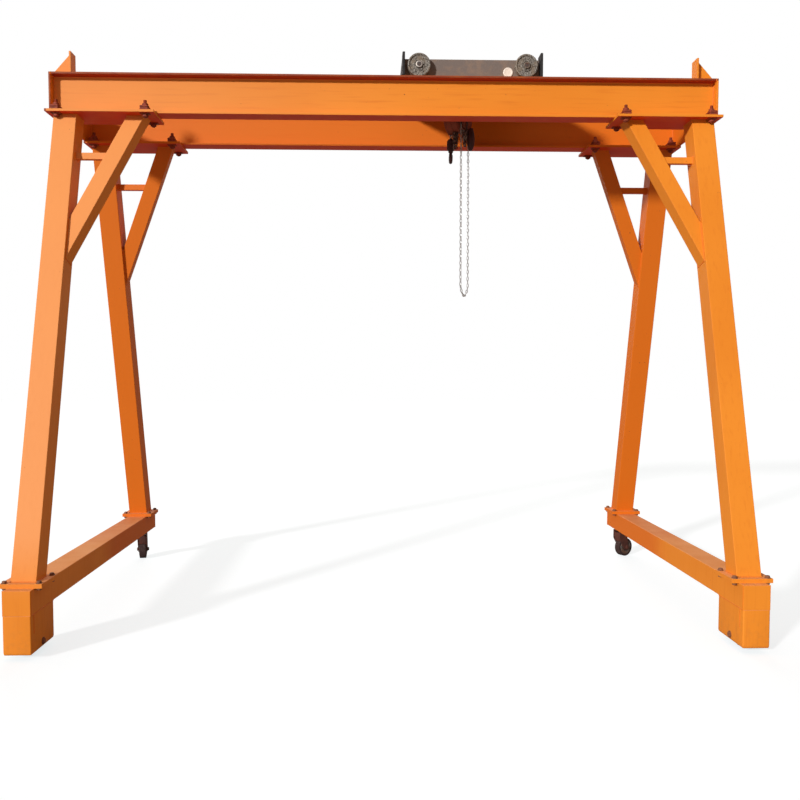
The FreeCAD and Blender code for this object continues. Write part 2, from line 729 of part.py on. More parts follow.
def make_cross_members(reach, middle_z):
    """Two square tubes and the two hanger bars, from web to web, and the pin that the hoist hangs on."""
    rest = val("trolley_rest")
    span_y = f"{2 * reach:g}"
    members = []
    for side, sx in SIDES.items():
        x = rest + sx * val("cross_spread / 2")
        tubes = []
        for suffix, formula in (("_blank", "cross_size"), ("_bore", "cross_size - 2 * cross_wall")):
            half = val(formula) / 2
            tubes.append(block(f"cross_tube_{side}{suffix}", (formula, span_y, formula),
                               (x - half, -reach, middle_z - half)))
        members.append(cut(f"cross_tube_{side}", tubes[0], tubes[1]))
    hoist_x = rest - val("hoist_shift")
    pin_half = "hanger_gap / 2 + hanger_thick + bolt_tail"
    for side, sx in SIDES.items():
        low_x = hoist_x + (val("hanger_gap / 2") if sx > 0 else -val("hanger_gap / 2 + hanger_thick"))
        bar = block(f"hanger_bar_{side}_blank", ("hanger_thick", span_y, "hanger_high"),
                    (low_x, -reach, middle_z - val("hanger_high / 2")))
        hole = rod(f"hanger_bar_{side}_hole", "pin_radius + hole_play", "hanger_thick",
                   (low_x, 0, middle_z), (1, 0, 0))
        members.append(cut(f"hanger_bar_{side}", bar, hole))
    gather("trolley_cross_members", members)
    pin = rod("hanger_pin", "pin_radius", f"2 * ({pin_half})", (hoist_x - val(pin_half), 0, middle_z), (1, 0, 0))
    piece(pin, "hanger_pin")


# chain hoist, hung from the pin with its shaft turned across the girders

def make_hoist():
    x = val("trolley_rest - hoist_shift")
    z = girder_top - val("hoist_drop")
    lug_z = girder_top + val("channel_clear + channel_high / 2")
    turn = Rotation(Vector(0, 0, 1), val("hoist_turn"))
    shaft = Rotation(Vector(0, 0, 1), val("hoist_turn") - 90)

    def beside(distance):
        """The point on the shaft at a distance from the hoist's middle."""
        return Vector(x, 0, z) + turn.multVec(Vector(distance, 0, 0))

    left = val("hoist_left")
    drum = turned("hoist_drum", [
        ("0", "0"), ("hoist_radius - hoist_round", "0"), ("hoist_radius", "hoist_round"),
        ("hoist_radius", "hoist_long - hoist_round"), ("hoist_radius - hoist_round", "hoist_long"),
        ("0", "hoist_long")])
    place(drum, beside(-left), shaft)
    wheel_at = val("hoist_long") - left + val("hub_play")
    cover_at = wheel_at + val("hand_wheel_wide + hub_play")
    axle = rod("hoist_shaft", "shaft_radius", "2 * hub_play + hand_wheel_wide + hoist_round",
               beside(wheel_at - val("hub_play + hoist_round")), turn.multVec(Vector(1, 0, 0)))
    eye = rod("hoist_eye", "lug_radius", "lug_thick", (x - val("lug_thick / 2"), 0, lug_z), (1, 0, 0))
    stem = block("hoist_stem", ("lug_thick", "2 * lug_radius", f"{lug_z - z:g}"),
                 (x - val("lug_thick / 2"), -val("lug_radius"), z))
    load_at = beside(-val("load_chain_off"))
    guide_low = z - val("hoist_radius + guide_drop")
    guide = rod("chain_guide", "guide_radius", "hoist_radius", (load_at.x, load_at.y, guide_low), (0, 0, 1))
    eye_hole = rod("hoist_eye_hole", "pin_radius + shaft_fit", "2 * lug_thick",
                   (x - val("lug_thick"), 0, lug_z), (1, 0, 0))
    solid = fuse("hoist_solid", [drum, axle, eye, stem, guide])
    piece(cut("hoist_body", solid, eye_hole), "hoist_body")

    groove = "hand_wheel_radius - hand_chain_bar - seat_gap"
    lip = "hand_wheel_radius + hand_wheel_lip"
    wheel = turned("hand_wheel", [
        ("shaft_radius + shaft_fit", "0"), (lip, "0"), (lip, "hand_wheel_rim"),
        (groove, "hand_wheel_rim"), (groove, "hand_wheel_wide - hand_wheel_rim"),
        (lip, "hand_wheel_wide - hand_wheel_rim"), (lip, "hand_wheel_wide"),
        ("shaft_radius + shaft_fit", "hand_wheel_wide")])
    piece(place(wheel, beside(wheel_at), shaft), "hand_wheel")
    cover = rod("hoist_cover", "cover_radius", "cover_thick", beside(cover_at), turn.multVec(Vector(1, 0, 0)))
    piece(cover, "hoist_cover")
    make_hook((load_at.x, load_at.y), guide_low)
    make_hand_chain(beside(wheel_at + val("hand_wheel_wide / 2")), turn)


def make_hook(spot, guide_low):
    """The load chain's last links, the block on them and the hook that swivels in it."""
    block_top = guide_low - val("load_chain_long")
    block_low = block_top - val("block_high")
    chain = rod("load_chain", "load_chain_radius", "load_chain_long", spot + (block_top,), (0, 0, 1))
    piece(chain, "load_chain")
    body = turned("hook_block_body", [
        ("0", "0"), ("block_wide / 2 - block_round", "0"), ("block_wide / 2", "block_round"),
        ("block_wide / 2", "block_high - block_round"),
        ("block_wide / 2 - block_round", "block_high"), ("0", "block_high")])
    place(body, spot + (block_low,), Rotation(Vector(1, 0, 0), 90))
    socket = rod("hook_socket", "hook_shank + shaft_fit", "hook_socket + hub_play",
                 spot + (block_low,), (0, 0, 1))
    piece(cut("hook_block", body, socket), "hook_block")

    bowl_z = block_low - val("hook_neck + hook_radius")
    bowl = doc.addObject("Part::Torus", "hook_bowl")
    bind(bowl, "Radius1", "hook_radius")
    bind(bowl, "Radius2", "hook_bar")
    bind(bowl, "Angle3", "hook_sweep")
    upright = Rotation(Vector(0, 0, 1), Vector(0, 1, 0), Vector(-1, 0, 0), "XYZ")
    bowl.Placement = Placement(Vector(*spot, bowl_z), upright)
    shank = rod("hook_stem", "hook_shank", "hook_neck + hook_socket",
                spot + (bowl_z + val("hook_radius"),), (0, 0, 1))
    tip = doc.addObject("Part::Sphere", "hook_tip")
    bind(tip, "Radius", "hook_bar")
    sweep = math.radians(val("hook_sweep"))
    tip.Placement.Base = Vector(spot[0], spot[1] + val("hook_radius") * math.sin(sweep),
                                bowl_z + val("hook_radius") * math.cos(sweep))
    piece(fuse("load_hook", [bowl, shank, tip]), "load_hook")


def make_hand_chain(centre, turn):
    """An endless chain: over the hand wheel, down both sides and round at the bottom."""
    radius = val("hand_wheel_radius")
    low_z = val("hand_chain_low") + val("hand_chain_bar") + radius
    stretches = []
    for number, (height, flip) in enumerate(((centre.z, 1), (low_z, -1)), start=1):
        bend = doc.addObject("Part::Torus", f"hand_chain_bend_{number}")
        bind(bend, "Radius1", "hand_wheel_radius")
        bind(bend, "Radius2", "hand_chain_bar")
        bend.Angle3 = 180
        across = turn.multVec(Vector(0, flip, 0))
        along = turn.multVec(Vector(1, 0, 0))
        bend.Placement = Placement(Vector(centre.x, centre.y, height),
                                   Rotation(across, Vector(0, 0, flip), along, "XYZ"))
        stretches.append(bend)
    for sign in (-1, 1):
        side = turn.multVec(Vector(0, sign * radius, 0))
        strand = rod(f"hand_chain_strand_{'ab'[sign > 0]}", "hand_chain_bar", f"{centre.z - low_z:.6f}",
                     (centre.x + side.x, centre.y + side.y, low_z), (0, 0, 1))
        stretches.append(strand)
    piece(fuse("hand_chain", stretches), "hand_chain")


make_girders()
make_stops()
make_head_plates()
make_side_frames()
make_sills()
make_foot_flanges()
make_front_wheels()
make_casters()
make_trolley()
make_hoist()
doc.recompute()

for feature in doc.Objects:
    if "Invalid" in feature.State or "Error" in feature.State:
        raise RuntimeError(f"{feature.Name} failed: {feature.State}")
for feature in pieces:
    if feature.Shape.isNull() or not feature.Shape.isValid():
        raise RuntimeError(f"{feature.Label} has no valid shape")

os.makedirs("parts", exist_ok=True)
for feature in pieces:
    feature.Shape.exportStep(f"parts/{feature.Label}.step")
print(f"{len(pieces)} sub-parts, {sum(len(item.Shape.Solids) for item in pieces)} solids")
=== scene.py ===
import json
import math

import bmesh
import bpy
import numpy as np
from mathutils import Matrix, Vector


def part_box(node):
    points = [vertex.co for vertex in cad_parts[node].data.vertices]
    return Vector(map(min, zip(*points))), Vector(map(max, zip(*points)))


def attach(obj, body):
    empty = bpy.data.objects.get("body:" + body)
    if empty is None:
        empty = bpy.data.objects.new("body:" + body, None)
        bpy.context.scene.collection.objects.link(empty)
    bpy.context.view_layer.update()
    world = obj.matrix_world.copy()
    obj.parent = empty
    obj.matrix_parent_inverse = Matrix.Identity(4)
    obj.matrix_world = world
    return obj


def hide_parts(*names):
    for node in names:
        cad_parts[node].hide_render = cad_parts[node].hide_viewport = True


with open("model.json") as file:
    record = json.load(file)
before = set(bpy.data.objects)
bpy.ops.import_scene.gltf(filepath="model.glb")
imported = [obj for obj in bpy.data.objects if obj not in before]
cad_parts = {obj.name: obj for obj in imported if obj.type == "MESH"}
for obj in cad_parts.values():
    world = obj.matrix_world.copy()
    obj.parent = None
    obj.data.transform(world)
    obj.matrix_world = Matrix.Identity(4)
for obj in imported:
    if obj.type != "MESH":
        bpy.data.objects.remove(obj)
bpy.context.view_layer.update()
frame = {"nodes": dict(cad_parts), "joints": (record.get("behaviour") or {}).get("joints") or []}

# Gantry crane in metres: X along the girders, -Y the front, Z up.

joints = {joint["name"]: joint for joint in frame["joints"]}
sides = {"left": -1, "right": 1}
ends = {"front": -1, "rear": 1}
alongX, alongY, alongZ, downZ = (1, 0, 0), (0, 1, 0), (0, 0, 1), (0, 0, -1)


def unit(vector):
    # a vector divided by its length
    vector = np.asarray(vector, float)
    return vector / np.linalg.norm(vector, axis=-1, keepdims=True)


def corners(node):
    # the lowest and highest corner of a CAD node
    low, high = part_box(node)
    return np.array(low), np.array(high)


def solids(node):
    # the points of each separate solid of a node: points that share a face take the lowest
    # number among them, over and over, until no number changes
    mesh = frame["nodes"][node].data
    spots = np.zeros(len(mesh.vertices) * 3)
    mesh.vertices.foreach_get("co", spots)
    tris = np.zeros(len(mesh.loops), int)
    mesh.loops.foreach_get("vertex_index", tris)
    points, back = np.unique(np.round(spots.reshape(-1, 3), 5), axis=0, return_inverse=True)
    tris = back.reshape(-1)[tris].reshape(-1, 3)
    label = np.arange(len(points))
    while True:
        lowest = label.copy()
        np.minimum.at(lowest, tris, label[tris].min(1)[:, None])
        lowest = lowest[lowest]
        if (lowest == label).all():
            break
        label = lowest
    return [points[label == number] for number in np.unique(label)]


def footprint(points, axis, value):
    # the four corners of a square end in the plane where axis has that value: the points
    # furthest along each diagonal of the plane
    flat = points[np.abs(points[:, axis] - value) < 2e-4]
    first, second = np.delete(flat, axis, 1).T
    diagonals = ((-1, -1), (1, -1), (1, 1), (-1, 1))
    return np.array([flat[np.argmax(one * first + two * second)] for one, two in diagonals])


def resample(points, step, closed=False):
    # even steps along a line: each coordinate is read off against the length walked so far
    points = np.asarray(points, float)
    if closed:
        points = np.vstack([points, points[:1]])
    walked = np.append(0, np.cumsum(np.linalg.norm(np.diff(points, axis=0), axis=1)))
    count = max(int(round(walked[-1] / step)), 3)
    at = np.linspace(0, walked[-1], count + 1)
    if closed:
        at = at[:-1]
    return np.stack([np.interp(at, walked, points[:, axis]) for axis in range(3)], axis=1)


def skin(grid, closed=False):
    # quads over a grid of points, rows along and columns round; open ends get a flat face
    rows, columns = grid.shape[:2]
    index = np.arange(rows * columns).reshape(rows, columns)
    around = np.vstack([index, index[:1]]) if closed else index
    around = np.hstack([around, around[:, :1]])
    quads = np.stack([around[:-1, :-1], around[:-1, 1:], around[1:, 1:], around[1:, :-1]], axis=-1)
    return grid.reshape(-1, 3), quads.reshape(-1, 4), [] if closed else [index[0], index[-1]]


def carry(path, normal, section, closed=False):
    # a section carried along a path: point = path + across * section x + up * section y,
    # where across = normal x direction of travel, and up = direction of travel x across
    path = np.asarray(path, float)
    travel = np.roll(path, -1, 0) - np.roll(path, 1, 0)
    if not closed:
        travel[0], travel[-1] = path[1] - path[0], path[-1] - path[-2]
    travel = unit(travel)
    across = unit(np.cross(np.broadcast_to(normal, path.shape), travel))
    up = np.cross(travel, across)
    section = np.broadcast_to(section, (len(path),) + np.shape(section)[-2:])
    grid = path[:, None] + across[:, None] * section[..., :1] + up[:, None] * section[..., 1:]
    return skin(grid, closed)


def circle(radius, count, start=0.0):
    # count points round a circle: (radius cos a, radius sin a)
    turn = start + np.arange(count) / count * math.tau
    return np.stack([radius * np.cos(turn), radius * np.sin(turn)], axis=1)


def spin(profile, centre, axis, count=28, flats=0):
    # a profile of (radius, distance along the axis) turned about an axis; with flats, the radius
    # stays inside a polygon: inner radius / cos(angle from the middle of the flat)
    profile = np.asarray(profile, float)
    axis = unit(axis)
    first = unit(np.cross(axis, (0, 0, 1) if abs(axis[2]) < 0.9 else (1, 0, 0)))
    second = np.cross(axis, first)
    turn = np.arange(count) / count * math.tau
    radius = np.repeat(profile[:, :1], count, axis=1)
    if flats:
        fold = (turn + math.pi / flats) % (math.tau / flats) - math.pi / flats
        radius = np.minimum(radius, profile[:, 0].max() * math.cos(math.pi / flats) / np.cos(fold))
    ring = np.cos(turn)[:, None] * first + np.sin(turn)[:, None] * second
    grid = np.asarray(centre, float) + axis * profile[:, 1][:, None, None] + radius[..., None] * ring
    return skin(grid)


def slab(low, high, ease):
    # a block with eased edges: rings of eight points, drawn in by the easing at both ends
    low, high = np.asarray(low, float), np.asarray(high, float)
    middle, half = (low + high) / 2, (high - low) / 2
    sign = np.array([(1, 1), (1, 1), (-1, 1), (-1, 1), (-1, -1), (-1, -1), (1, -1), (1, -1)])
    cut = np.array([(0, 1), (1, 0), (1, 0), (0, 1), (0, 1), (1, 0), (1, 0), (0, 1)]) * ease
    rows = []
    for height, inset in ((-half[2], ease), (-half[2] + ease, 0), (half[2] - ease, 0), (half[2], ease)):
        flat = sign * (half[:2] - cut - inset)
        rows.append(np.column_stack([flat, np.full(8, height)]) + middle)
    return skin(np.array(rows))


def build(name, body, finish, shapes, sharp=38):
    # one piece from several shapes: doubles merged, faces turned outwards, sharp edges kept
    points = np.vstack([shape[0] for shape in shapes])
    starts = np.cumsum([0] + [len(shape[0]) for shape in shapes[:-1]])
    faces = []
    for (_, quads, caps), start in zip(shapes, starts):
        faces += (quads + start).tolist() + [(cap + start).tolist() for cap in caps]
    mesh = bpy.data.meshes.new(name)
    mesh.from_pydata(points.tolist(), [], faces)
    work = bmesh.new()
    work.from_mesh(mesh)
    bmesh.ops.remove_doubles(work, verts=work.verts, dist=1e-6)
    bmesh.ops.dissolve_degenerate(work, edges=work.edges, dist=1e-7)
    bmesh.ops.recalc_face_normals(work, faces=work.faces)
    work.to_mesh(mesh)
    work.free()
    mesh.polygons.foreach_set("use_smooth", np.ones(len(mesh.polygons), bool))
    mesh.set_sharp_from_angle(angle=math.radians(sharp))
    mesh.materials.append(finishes[finish])
    thing = bpy.data.objects.new(name, mesh)
    bpy.context.scene.collection.objects.link(thing)
    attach(thing, body)
    return thing


class Wire:
    # an output socket; + - * on it add Math nodes
    def __init__(self, paint, socket):
        self.paint = paint
        self.socket = socket

    def __add__(self, other):
        return self.paint.maths("ADD", self, other)

    def __sub__(self, other):
        return self.paint.maths("SUBTRACT", self, other)

    def __rsub__(self, other):
        return self.paint.maths("SUBTRACT", other, self)

    def __mul__(self, other):
        return self.paint.maths("MULTIPLY", self, other)

    __radd__ = __add__
    __rmul__ = __mul__


class Paint:
    # a material being made; a colour is a red, green, blue tuple
    def __init__(self, name, metal=0.0, gloss=0.5):
        self.material = bpy.data.materials.new(name)
        self.material.use_nodes = True
        self.tree = self.material.node_tree
        self.shader = self.tree.nodes["Principled BSDF"]
        self.shader.inputs["Metallic"].default_value = metal
        self.shader.inputs["Specular IOR Level"].default_value = gloss
        self.place = self.node("ShaderNodeTexCoord", out="Object")

    def node(self, kind, settings=None, sockets=None, out=0):
        made = self.tree.nodes.new(kind)
        for key, value in (settings or {}).items():
            setattr(made, key, value)
        for key, value in (sockets or {}).items():
            if isinstance(value, Wire):
                self.tree.links.new(value.socket, made.inputs[key])
            else:
                made.inputs[key].default_value = value
        return Wire(self, made.outputs[out])

    def maths(self, operation, *values):
        return self.node("ShaderNodeMath", {"operation": operation}, dict(enumerate(values)))

    def stretched(self, x, y, z):
        # the place multiplied by a size for each axis
        return self.node("ShaderNodeVectorMath", {"operation": "MULTIPLY"},
                         {0: self.place, 1: (x, y, z)})

    def noise(self, scale, detail=3.0, place=None, seed=0.0):
        at = self.node("ShaderNodeVectorMath", {"operation": "ADD"},
                       {0: place or self.place, 1: (seed, seed * 1.7, seed * 0.6)})
        return self.node("ShaderNodeTexNoise", None, {"Vector": at, "Scale": scale, "Detail": detail})

    def spots(self, scale):
        return self.node("ShaderNodeTexVoronoi", None, {"Vector": self.place, "Scale": scale})

    def band(self, value, low, high, to=1.0):
        # 0 below low, to above high, smooth between
        return self.node("ShaderNodeMapRange", {"interpolation_type": "SMOOTHSTEP"},
                         {"Value": value, "From Min": low, "From Max": high, "To Max": to})

    def blend(self, amount, first, second):
        pair = {6: first, 7: second}
        pair = {key: value if isinstance(value, Wire) else (*value, 1) for key, value in pair.items()}
        return self.node("ShaderNodeMix", {"data_type": "RGBA"}, {0: amount, **pair}, out=2)

    def axis(self, wire, letter):
        return self.node("ShaderNodeSeparateXYZ", None, {0: wire}, out=letter)

    def facing(self, letter):
        # how far the surface looks along an axis, from -1 to 1
        return self.axis(self.node("ShaderNodeNewGeometry", out="Normal"), letter)

    def finish(self, colour, rough, height, depth):
        for socket, value in (("Base Color", colour), ("Roughness", rough)):
            self.tree.links.new(value.socket, self.shader.inputs[socket])
        bump = self.node("ShaderNodeBump", None, {"Height": height, "Distance": depth, "Strength": 1.0})
        self.tree.links.new(bump.socket, self.shader.inputs["Normal"])
        return self.material


orangeLook = {
    "base": (0.72, 0.222, 0.016),
    "warm": (0.78, 0.258, 0.022),     # sun-faded patches
    "deep": (0.56, 0.120, 0.008),     # thick paint and runs
    "rear": (0.64, 0.135, 0.006),     # painted shade: the rear half deeper and redder
    "pale": (0.80, 0.320, 0.110),     # painted light: paler front faces on the left of the frame
    "primer": (0.66, 0.048, 0.006),   # painted shade: deep red on downward faces, under the flanges and plates
    "rail": (0.21, 0.030, 0.014),     # dark red front edge of the top flange and of the left end plate, and painted shade under the top flange
    "dust": (0.95, 0.52, 0.25),
    "dirt": (0.36, 0.13, 0.04),
    "rust": (0.17, 0.055, 0.022),
    "rough": 0.52,
    "flange": 0.0145,                 # height of the dark edge below the girder's top
    "plate": 0.013,                   # width of the dark edge at the left end
    "soft": 0.001,                    # how softly those edges stop
    "relief": 0.0009,
}
# for each effect of the orange paint: where it starts, where it is full, and how strong it gets
orangeMask = {
    "faded": (0.35, 0.70, 0.75),
    "rearHalf": (-0.10, 0.35, 0.85),  # metres across the crane
    "frontHalf": (-0.2, 0.2),
    "rightward": (-2.1, 0.6),         # metres along the girders
    "offGround": (0.3, 0.7),          # metres up
    "splashed": (0.02, 0.30),
    "notFront": (-0.6, -0.2),         # how far the face looks to the rear
    "upFacing": (0.55, 0.95),
    "notDown": (-0.85, -0.45),
    "primed": (0.25, 0.65, 0.14),
    "railed": (0.25, 0.65, 0.2),
    "dusty": (0.15, 0.85, 0.30),
    "splashes": (0.40, 0.85, 0.30),
    "chips": (0.715, 0.735),
    "chipPatches": (0.50, 0.60),
}


def orangePaint(name, stretch, look=orangeLook, paintedLightLeft=0.0, top=9.0, end=9.0, streak=0.4, primed=False):
    # brushed orange: colour = base, faded in broad patches, deeper along brush streaks, painted shade deeper on
    # the rear half, painted light paler on front faces to the left, painted shade in deep red on downward faces
    # and under the top flange, dark on the front edges of the top flange and the left end, dusty on upward
    # faces, dirty near the ground, with small chips
    paint = Paint(name, gloss=0.22)

    def mask(value, effect):
        return paint.band(value, *orangeMask[effect])

    def edgeBand(value, start):
        return paint.band(value, start - look["soft"] / 2, start + look["soft"] / 2)

    streaks = paint.noise(9.0, 4.0, paint.stretched(*stretch))
    broad = paint.noise(1.3, 2.0, seed=3.1)
    cloud = paint.noise(7.0, 5.0, seed=8.0)
    across, along, height = [paint.axis(paint.place, letter) for letter in "YXZ"]
    colour = paint.blend(mask(broad, "faded"), look["base"], look["warm"])
    colour = paint.blend(paint.band(streaks, 0.50, 0.78, streak), colour, look["deep"])
    # painted shade: the rear half made deeper and redder
    colour = paint.blend(mask(across + cloud * 0.2, "rearHalf"), colour, look["rear"])
    front = 1 - mask(paint.facing("Y"), "notFront")
    # painted light: the front faces on the left, off the ground, made paler
    if paintedLightLeft:
        left = (1 - mask(along, "rightward")) * (1 - mask(across, "frontHalf")) * mask(height, "offGround")
        colour = paint.blend(left * front * paintedLightLeft, colour, look["pale"])
    upward = mask(paint.facing("Z"), "upFacing")
    if primed:
        downward = 1 - mask(paint.facing("Z"), "notDown")
        # painted shade: downward faces turned deep red
        colour = paint.blend(downward * (mask(cloud, "primed") + 0.86), colour, look["primer"])
        flange = edgeBand(height, top - look["flange"]) * (1 - edgeBand(height, top + look["soft"]))
        edge = paint.maths("MAXIMUM", flange, 1 - edgeBand(along, look["plate"] - end))
        colour = paint.blend(edge * front * (mask(cloud, "railed") + 0.75), colour, look["rail"])
        # painted shade: the underside of the top flange darkened
        colour = paint.blend(flange * downward * 0.62, colour, look["rail"])
    colour = paint.blend(upward * (mask(cloud, "dusty") + 0.25), colour, look["dust"])
    splash = (1 - mask(height, "splashed")) * mask(paint.noise(34.0, 6.0, seed=1.0), "splashes")
    colour = paint.blend(splash, colour, look["dirt"])
    chips = mask(paint.noise(60.0, 4.0, seed=5.0), "chips") * mask(cloud, "chipPatches")
    colour = paint.blend(chips * 0.85, colour, look["rust"])
    rough = look["rough"] + streaks * 0.10 + upward * 0.16 + chips * 0.25
    relief = streaks * 0.35 + paint.noise(160.0, 2.0) * 0.20 - chips * 0.6
    return paint.finish(colour, rough, relief, look["relief"])


def dustyPaint(name, base, worn, dust, rough=0.55, dusty=0.7, scale=18.0):
    # dull paint: base with worn patches, and dust that gathers on upward faces
    paint = Paint(name, gloss=0.35)
    patch = paint.noise(scale, 5.0, seed=2.0)
    fine = paint.noise(scale * 6, 3.0, seed=4.0)
    colour = paint.blend(paint.band(patch, 0.42, 0.66, 0.85), base, worn)
    cover = paint.band(paint.facing("Z"), 0.2, 0.95) * 0.8 + 0.2
    colour = paint.blend(cover * paint.band(fine, 0.35, 0.75, dusty), colour, dust)
    return paint.finish(colour, rough + patch * 0.2 + fine * 0.1, patch * 0.4 + fine * 0.6, 0.0008)


def castMetal(name, dark, pale, stain, metal=0.35, rough=0.62, scale=70.0):
    # rough casting: dark and pale grains side by side, with broad stains
    paint = Paint(name, metal=metal)
    grain = paint.noise(scale, 4.0, seed=6.0)
    cell = paint.spots(scale * 1.7)
    stains = paint.noise(scale * 0.22, 3.0, seed=9.0)
    colour = paint.blend(paint.band(grain, 0.36, 0.64), dark, pale)
    colour = paint.blend(paint.band(cell, 0.30, 0.62, 0.45), colour, dark)
    colour = paint.blend(paint.band(stains, 0.48, 0.66, 0.75), colour, stain)
    return paint.finish(colour, rough + grain * 0.22, grain * 0.7 + cell * 0.3, 0.0014)


def plainMetal(name, base, tarnish, rough=0.35, metal=0.9):
    # plated or turned metal: base, tarnished in small clouds
    paint = Paint(name, metal=metal)
    cloud = paint.noise(55.0, 5.0, seed=7.0)
    scratch = paint.noise(30.0, 3.0, paint.stretched(1, 1, 9))
    colour = paint.blend(paint.band(cloud, 0.44, 0.70, 0.85), base, tarnish)
    return paint.finish(colour, rough + cloud * 0.25, scratch * 0.5 + cloud * 0.5, 0.0004)


frontLow, frontHigh = corners("front_girder")
girderEnd = corners("end_plate_right")[1][0]
weldColours = {**orangeLook, "base": (0.68, 0.15, 0.008), "warm": (0.72, 0.19, 0.010)}
# each finish, with the function that makes it and that function's values
recipes = {
    "girderOrange": (orangePaint, (0.35, 7, 7), orangeLook, 0.40, frontHigh[2], girderEnd, 0.4, True),
    "frameOrange": (orangePaint, (7, 7, 0.35), orangeLook, 0.66, 9.0, 9.0, 0.22),
    "weldOrange": (orangePaint, (3, 3, 3), weldColours),
    "trolleySteel": (dustyPaint, (0.155, 0.122, 0.105), (0.215, 0.150, 0.110), (0.30, 0.26, 0.225)),
    "wheelIron": (castMetal, (0.070, 0.058, 0.048), (0.42, 0.39, 0.34), (0.22, 0.17, 0.12), 0.35, 0.62, 120.0),
    "hubBrown": (castMetal, (0.085, 0.060, 0.045), (0.30, 0.24, 0.18), (0.17, 0.10, 0.06), 0.35, 0.62, 130.0),
    "frontWheelIron": (castMetal, (0.05, 0.045, 0.04), (0.20, 0.18, 0.16), (0.14, 0.07, 0.04)),
    "bumperBlack": (dustyPaint, (0.012, 0.012, 0.013), (0.028, 0.026, 0.026), (0.09, 0.08, 0.075), 0.6, 0.45, 30.0),
    "boltSteel": (plainMetal, (0.085, 0.075, 0.072), (0.12, 0.045, 0.022), 0.45, 0.55),
    "boltBrown": (dustyPaint, (0.23, 0.085, 0.035), (0.12, 0.055, 0.035), (0.42, 0.27, 0.18), 0.45, 0.6, 60.0),
    "clampRed": (dustyPaint, (0.27, 0.038, 0.012), (0.15, 0.024, 0.010), (0.40, 0.13, 0.06), 0.5, 0.4, 40.0),
    "brightSteel": (plainMetal, (0.62, 0.60, 0.56), (0.36, 0.31, 0.26), 0.30, 0.9),
    "hoistBrown": (dustyPaint, (0.27, 0.055, 0.024), (0.17, 0.040, 0.020), (0.34, 0.13, 0.07)),
    "hookDark": (dustyPaint, (0.050, 0.012, 0.014), (0.028, 0.010, 0.012), (0.16, 0.10, 0.09), 0.35, 0.45, 40.0),
    # painted shade: a dark copy of the zinc chain, for the slack below the hoist
    "chainDark": (plainMetal, (0.085, 0.040, 0.032), (0.42, 0.36, 0.32), 0.36, 0.6),
    "chainZinc": (plainMetal, (0.46, 0.46, 0.45), (0.25, 0.245, 0.235), 0.34, 0.85),
    "casterBrown": (dustyPaint, (0.090, 0.026, 0.017), (0.050, 0.016, 0.012), (0.17, 0.10, 0.07), 0.5, 0.5, 26.0),
    "treadBlack": (dustyPaint, (0.030, 0.014, 0.013), (0.048, 0.030, 0.026), (0.15, 0.10, 0.085), 0.72, 0.7, 30.0),
    "capCream": (dustyPaint, (0.80, 0.72, 0.63), (0.74, 0.64, 0.54), (0.66, 0.56, 0.46), 0.35, 0.3, 30.0),
}
finishes = {name: make(name, *values) for name, (make, *values) in recipes.items()}
print("finishes made")


def roundEdges(thing, ease, steps, bend):
    # a bevel on each edge that turns by more than an angle, with even shading beside it
    bevel = thing.modifiers.new("ease", "BEVEL")
    bevel.width = ease
    bevel.segments = steps
    bevel.limit_method = "ANGLE"
    bevel.angle_limit = math.radians(bend)
    thing.modifiers.new("even", "WEIGHTED_NORMAL").keep_sharp = True


def dress(nodes, finish, ease=0.0, steps=2):
    # a CAD node's finish; with ease, its loose faces are joined and its edges rounded
    for node in nodes:
        thing = frame["nodes"][node]
        if not thing.material_slots:
            thing.data.materials.append(finishes[finish])
        for slot in thing.material_slots:
            slot.material = finishes[finish]
        if ease:
            thing.modifiers.new("join", "WELD").merge_threshold = 1e-5
            flat = thing.modifiers.new("flat", "DECIMATE")
            flat.decimate_type = "DISSOLVE"
            flat.angle_limit = math.radians(0.5)
            roundEdges(thing, ease, steps, 50)


legs = [f"leg_{end}_{side}" for end in ends for side in sides]
trolleyWheels = [f"trolley_wheel_{end}_{side}" for end in ends for side in sides]
# the nodes, their finish, and how far and in how many steps their edges are rounded
dress(["front_girder", "rear_girder"], "girderOrange", 0.0015, 1)
dress(["end_plate_left", "end_plate_right", "trolley_stops", "head_plates"], "girderOrange", 0.002)
dress(legs + ["sill_beam_left", "sill_beam_right"], "frameOrange", 0.009, 3)
dress(["knee_braces_left", "knee_braces_right"], "frameOrange", 0.007, 3)
dress(["tie_bars"], "frameOrange", 0.004)
dress(["sill_end_caps", "sill_seat_plates", "leg_foot_plates"], "frameOrange", 0.0018)
dress(["wheel_housing_left", "wheel_housing_right"], "frameOrange")
dress(["front_axles"], "boltBrown", 0.0012)
dress(["trolley_axles", "hanger_pin"], "boltSteel", 0.0012)
dress(["caster_plates", "caster_fork_left", "caster_fork_right"], "casterBrown", 0.0015)
dress(["caster_wheel_left", "caster_wheel_right"], "treadBlack", 0.005, 3)
dress(["front_wheel_left", "front_wheel_right"], "frontWheelIron", 0.003)
dress(trolleyWheels, "wheelIron", 0.002)
dress(["trolley_channel_front", "trolley_channel_rear", "trolley_cross_members"], "trolleySteel", 0.0022)
dress(["trolley_bumpers"], "bumperBlack", 0.004, 3)
dress(["hoist_body", "hoist_cover", "hand_wheel"], "hoistBrown", 0.0025)
dress(["hook_block", "load_hook"], "hookDark")
dress(["foot_bolts", "girder_clamps", "load_chain", "hand_chain"], "boltSteel")
print("frame dressed")

boltLook = {
    "radius": 0.009, "acrossCorners": 0.0140, "high": 0.011, "ease": 0.0016,
    "washer": 0.0165, "washerThick": 0.0025,
    "pitch": 0.0022, "root": 0.0009, "tip": (0.0025, 0.0015),
    "tail": 0.006, "tailFrom": 0.009,       # the thread past the nut, and where it starts
    "nutSeat": 0.0020, "headSeat": 0.0015,  # how far the nut and the head stand off the plate
}


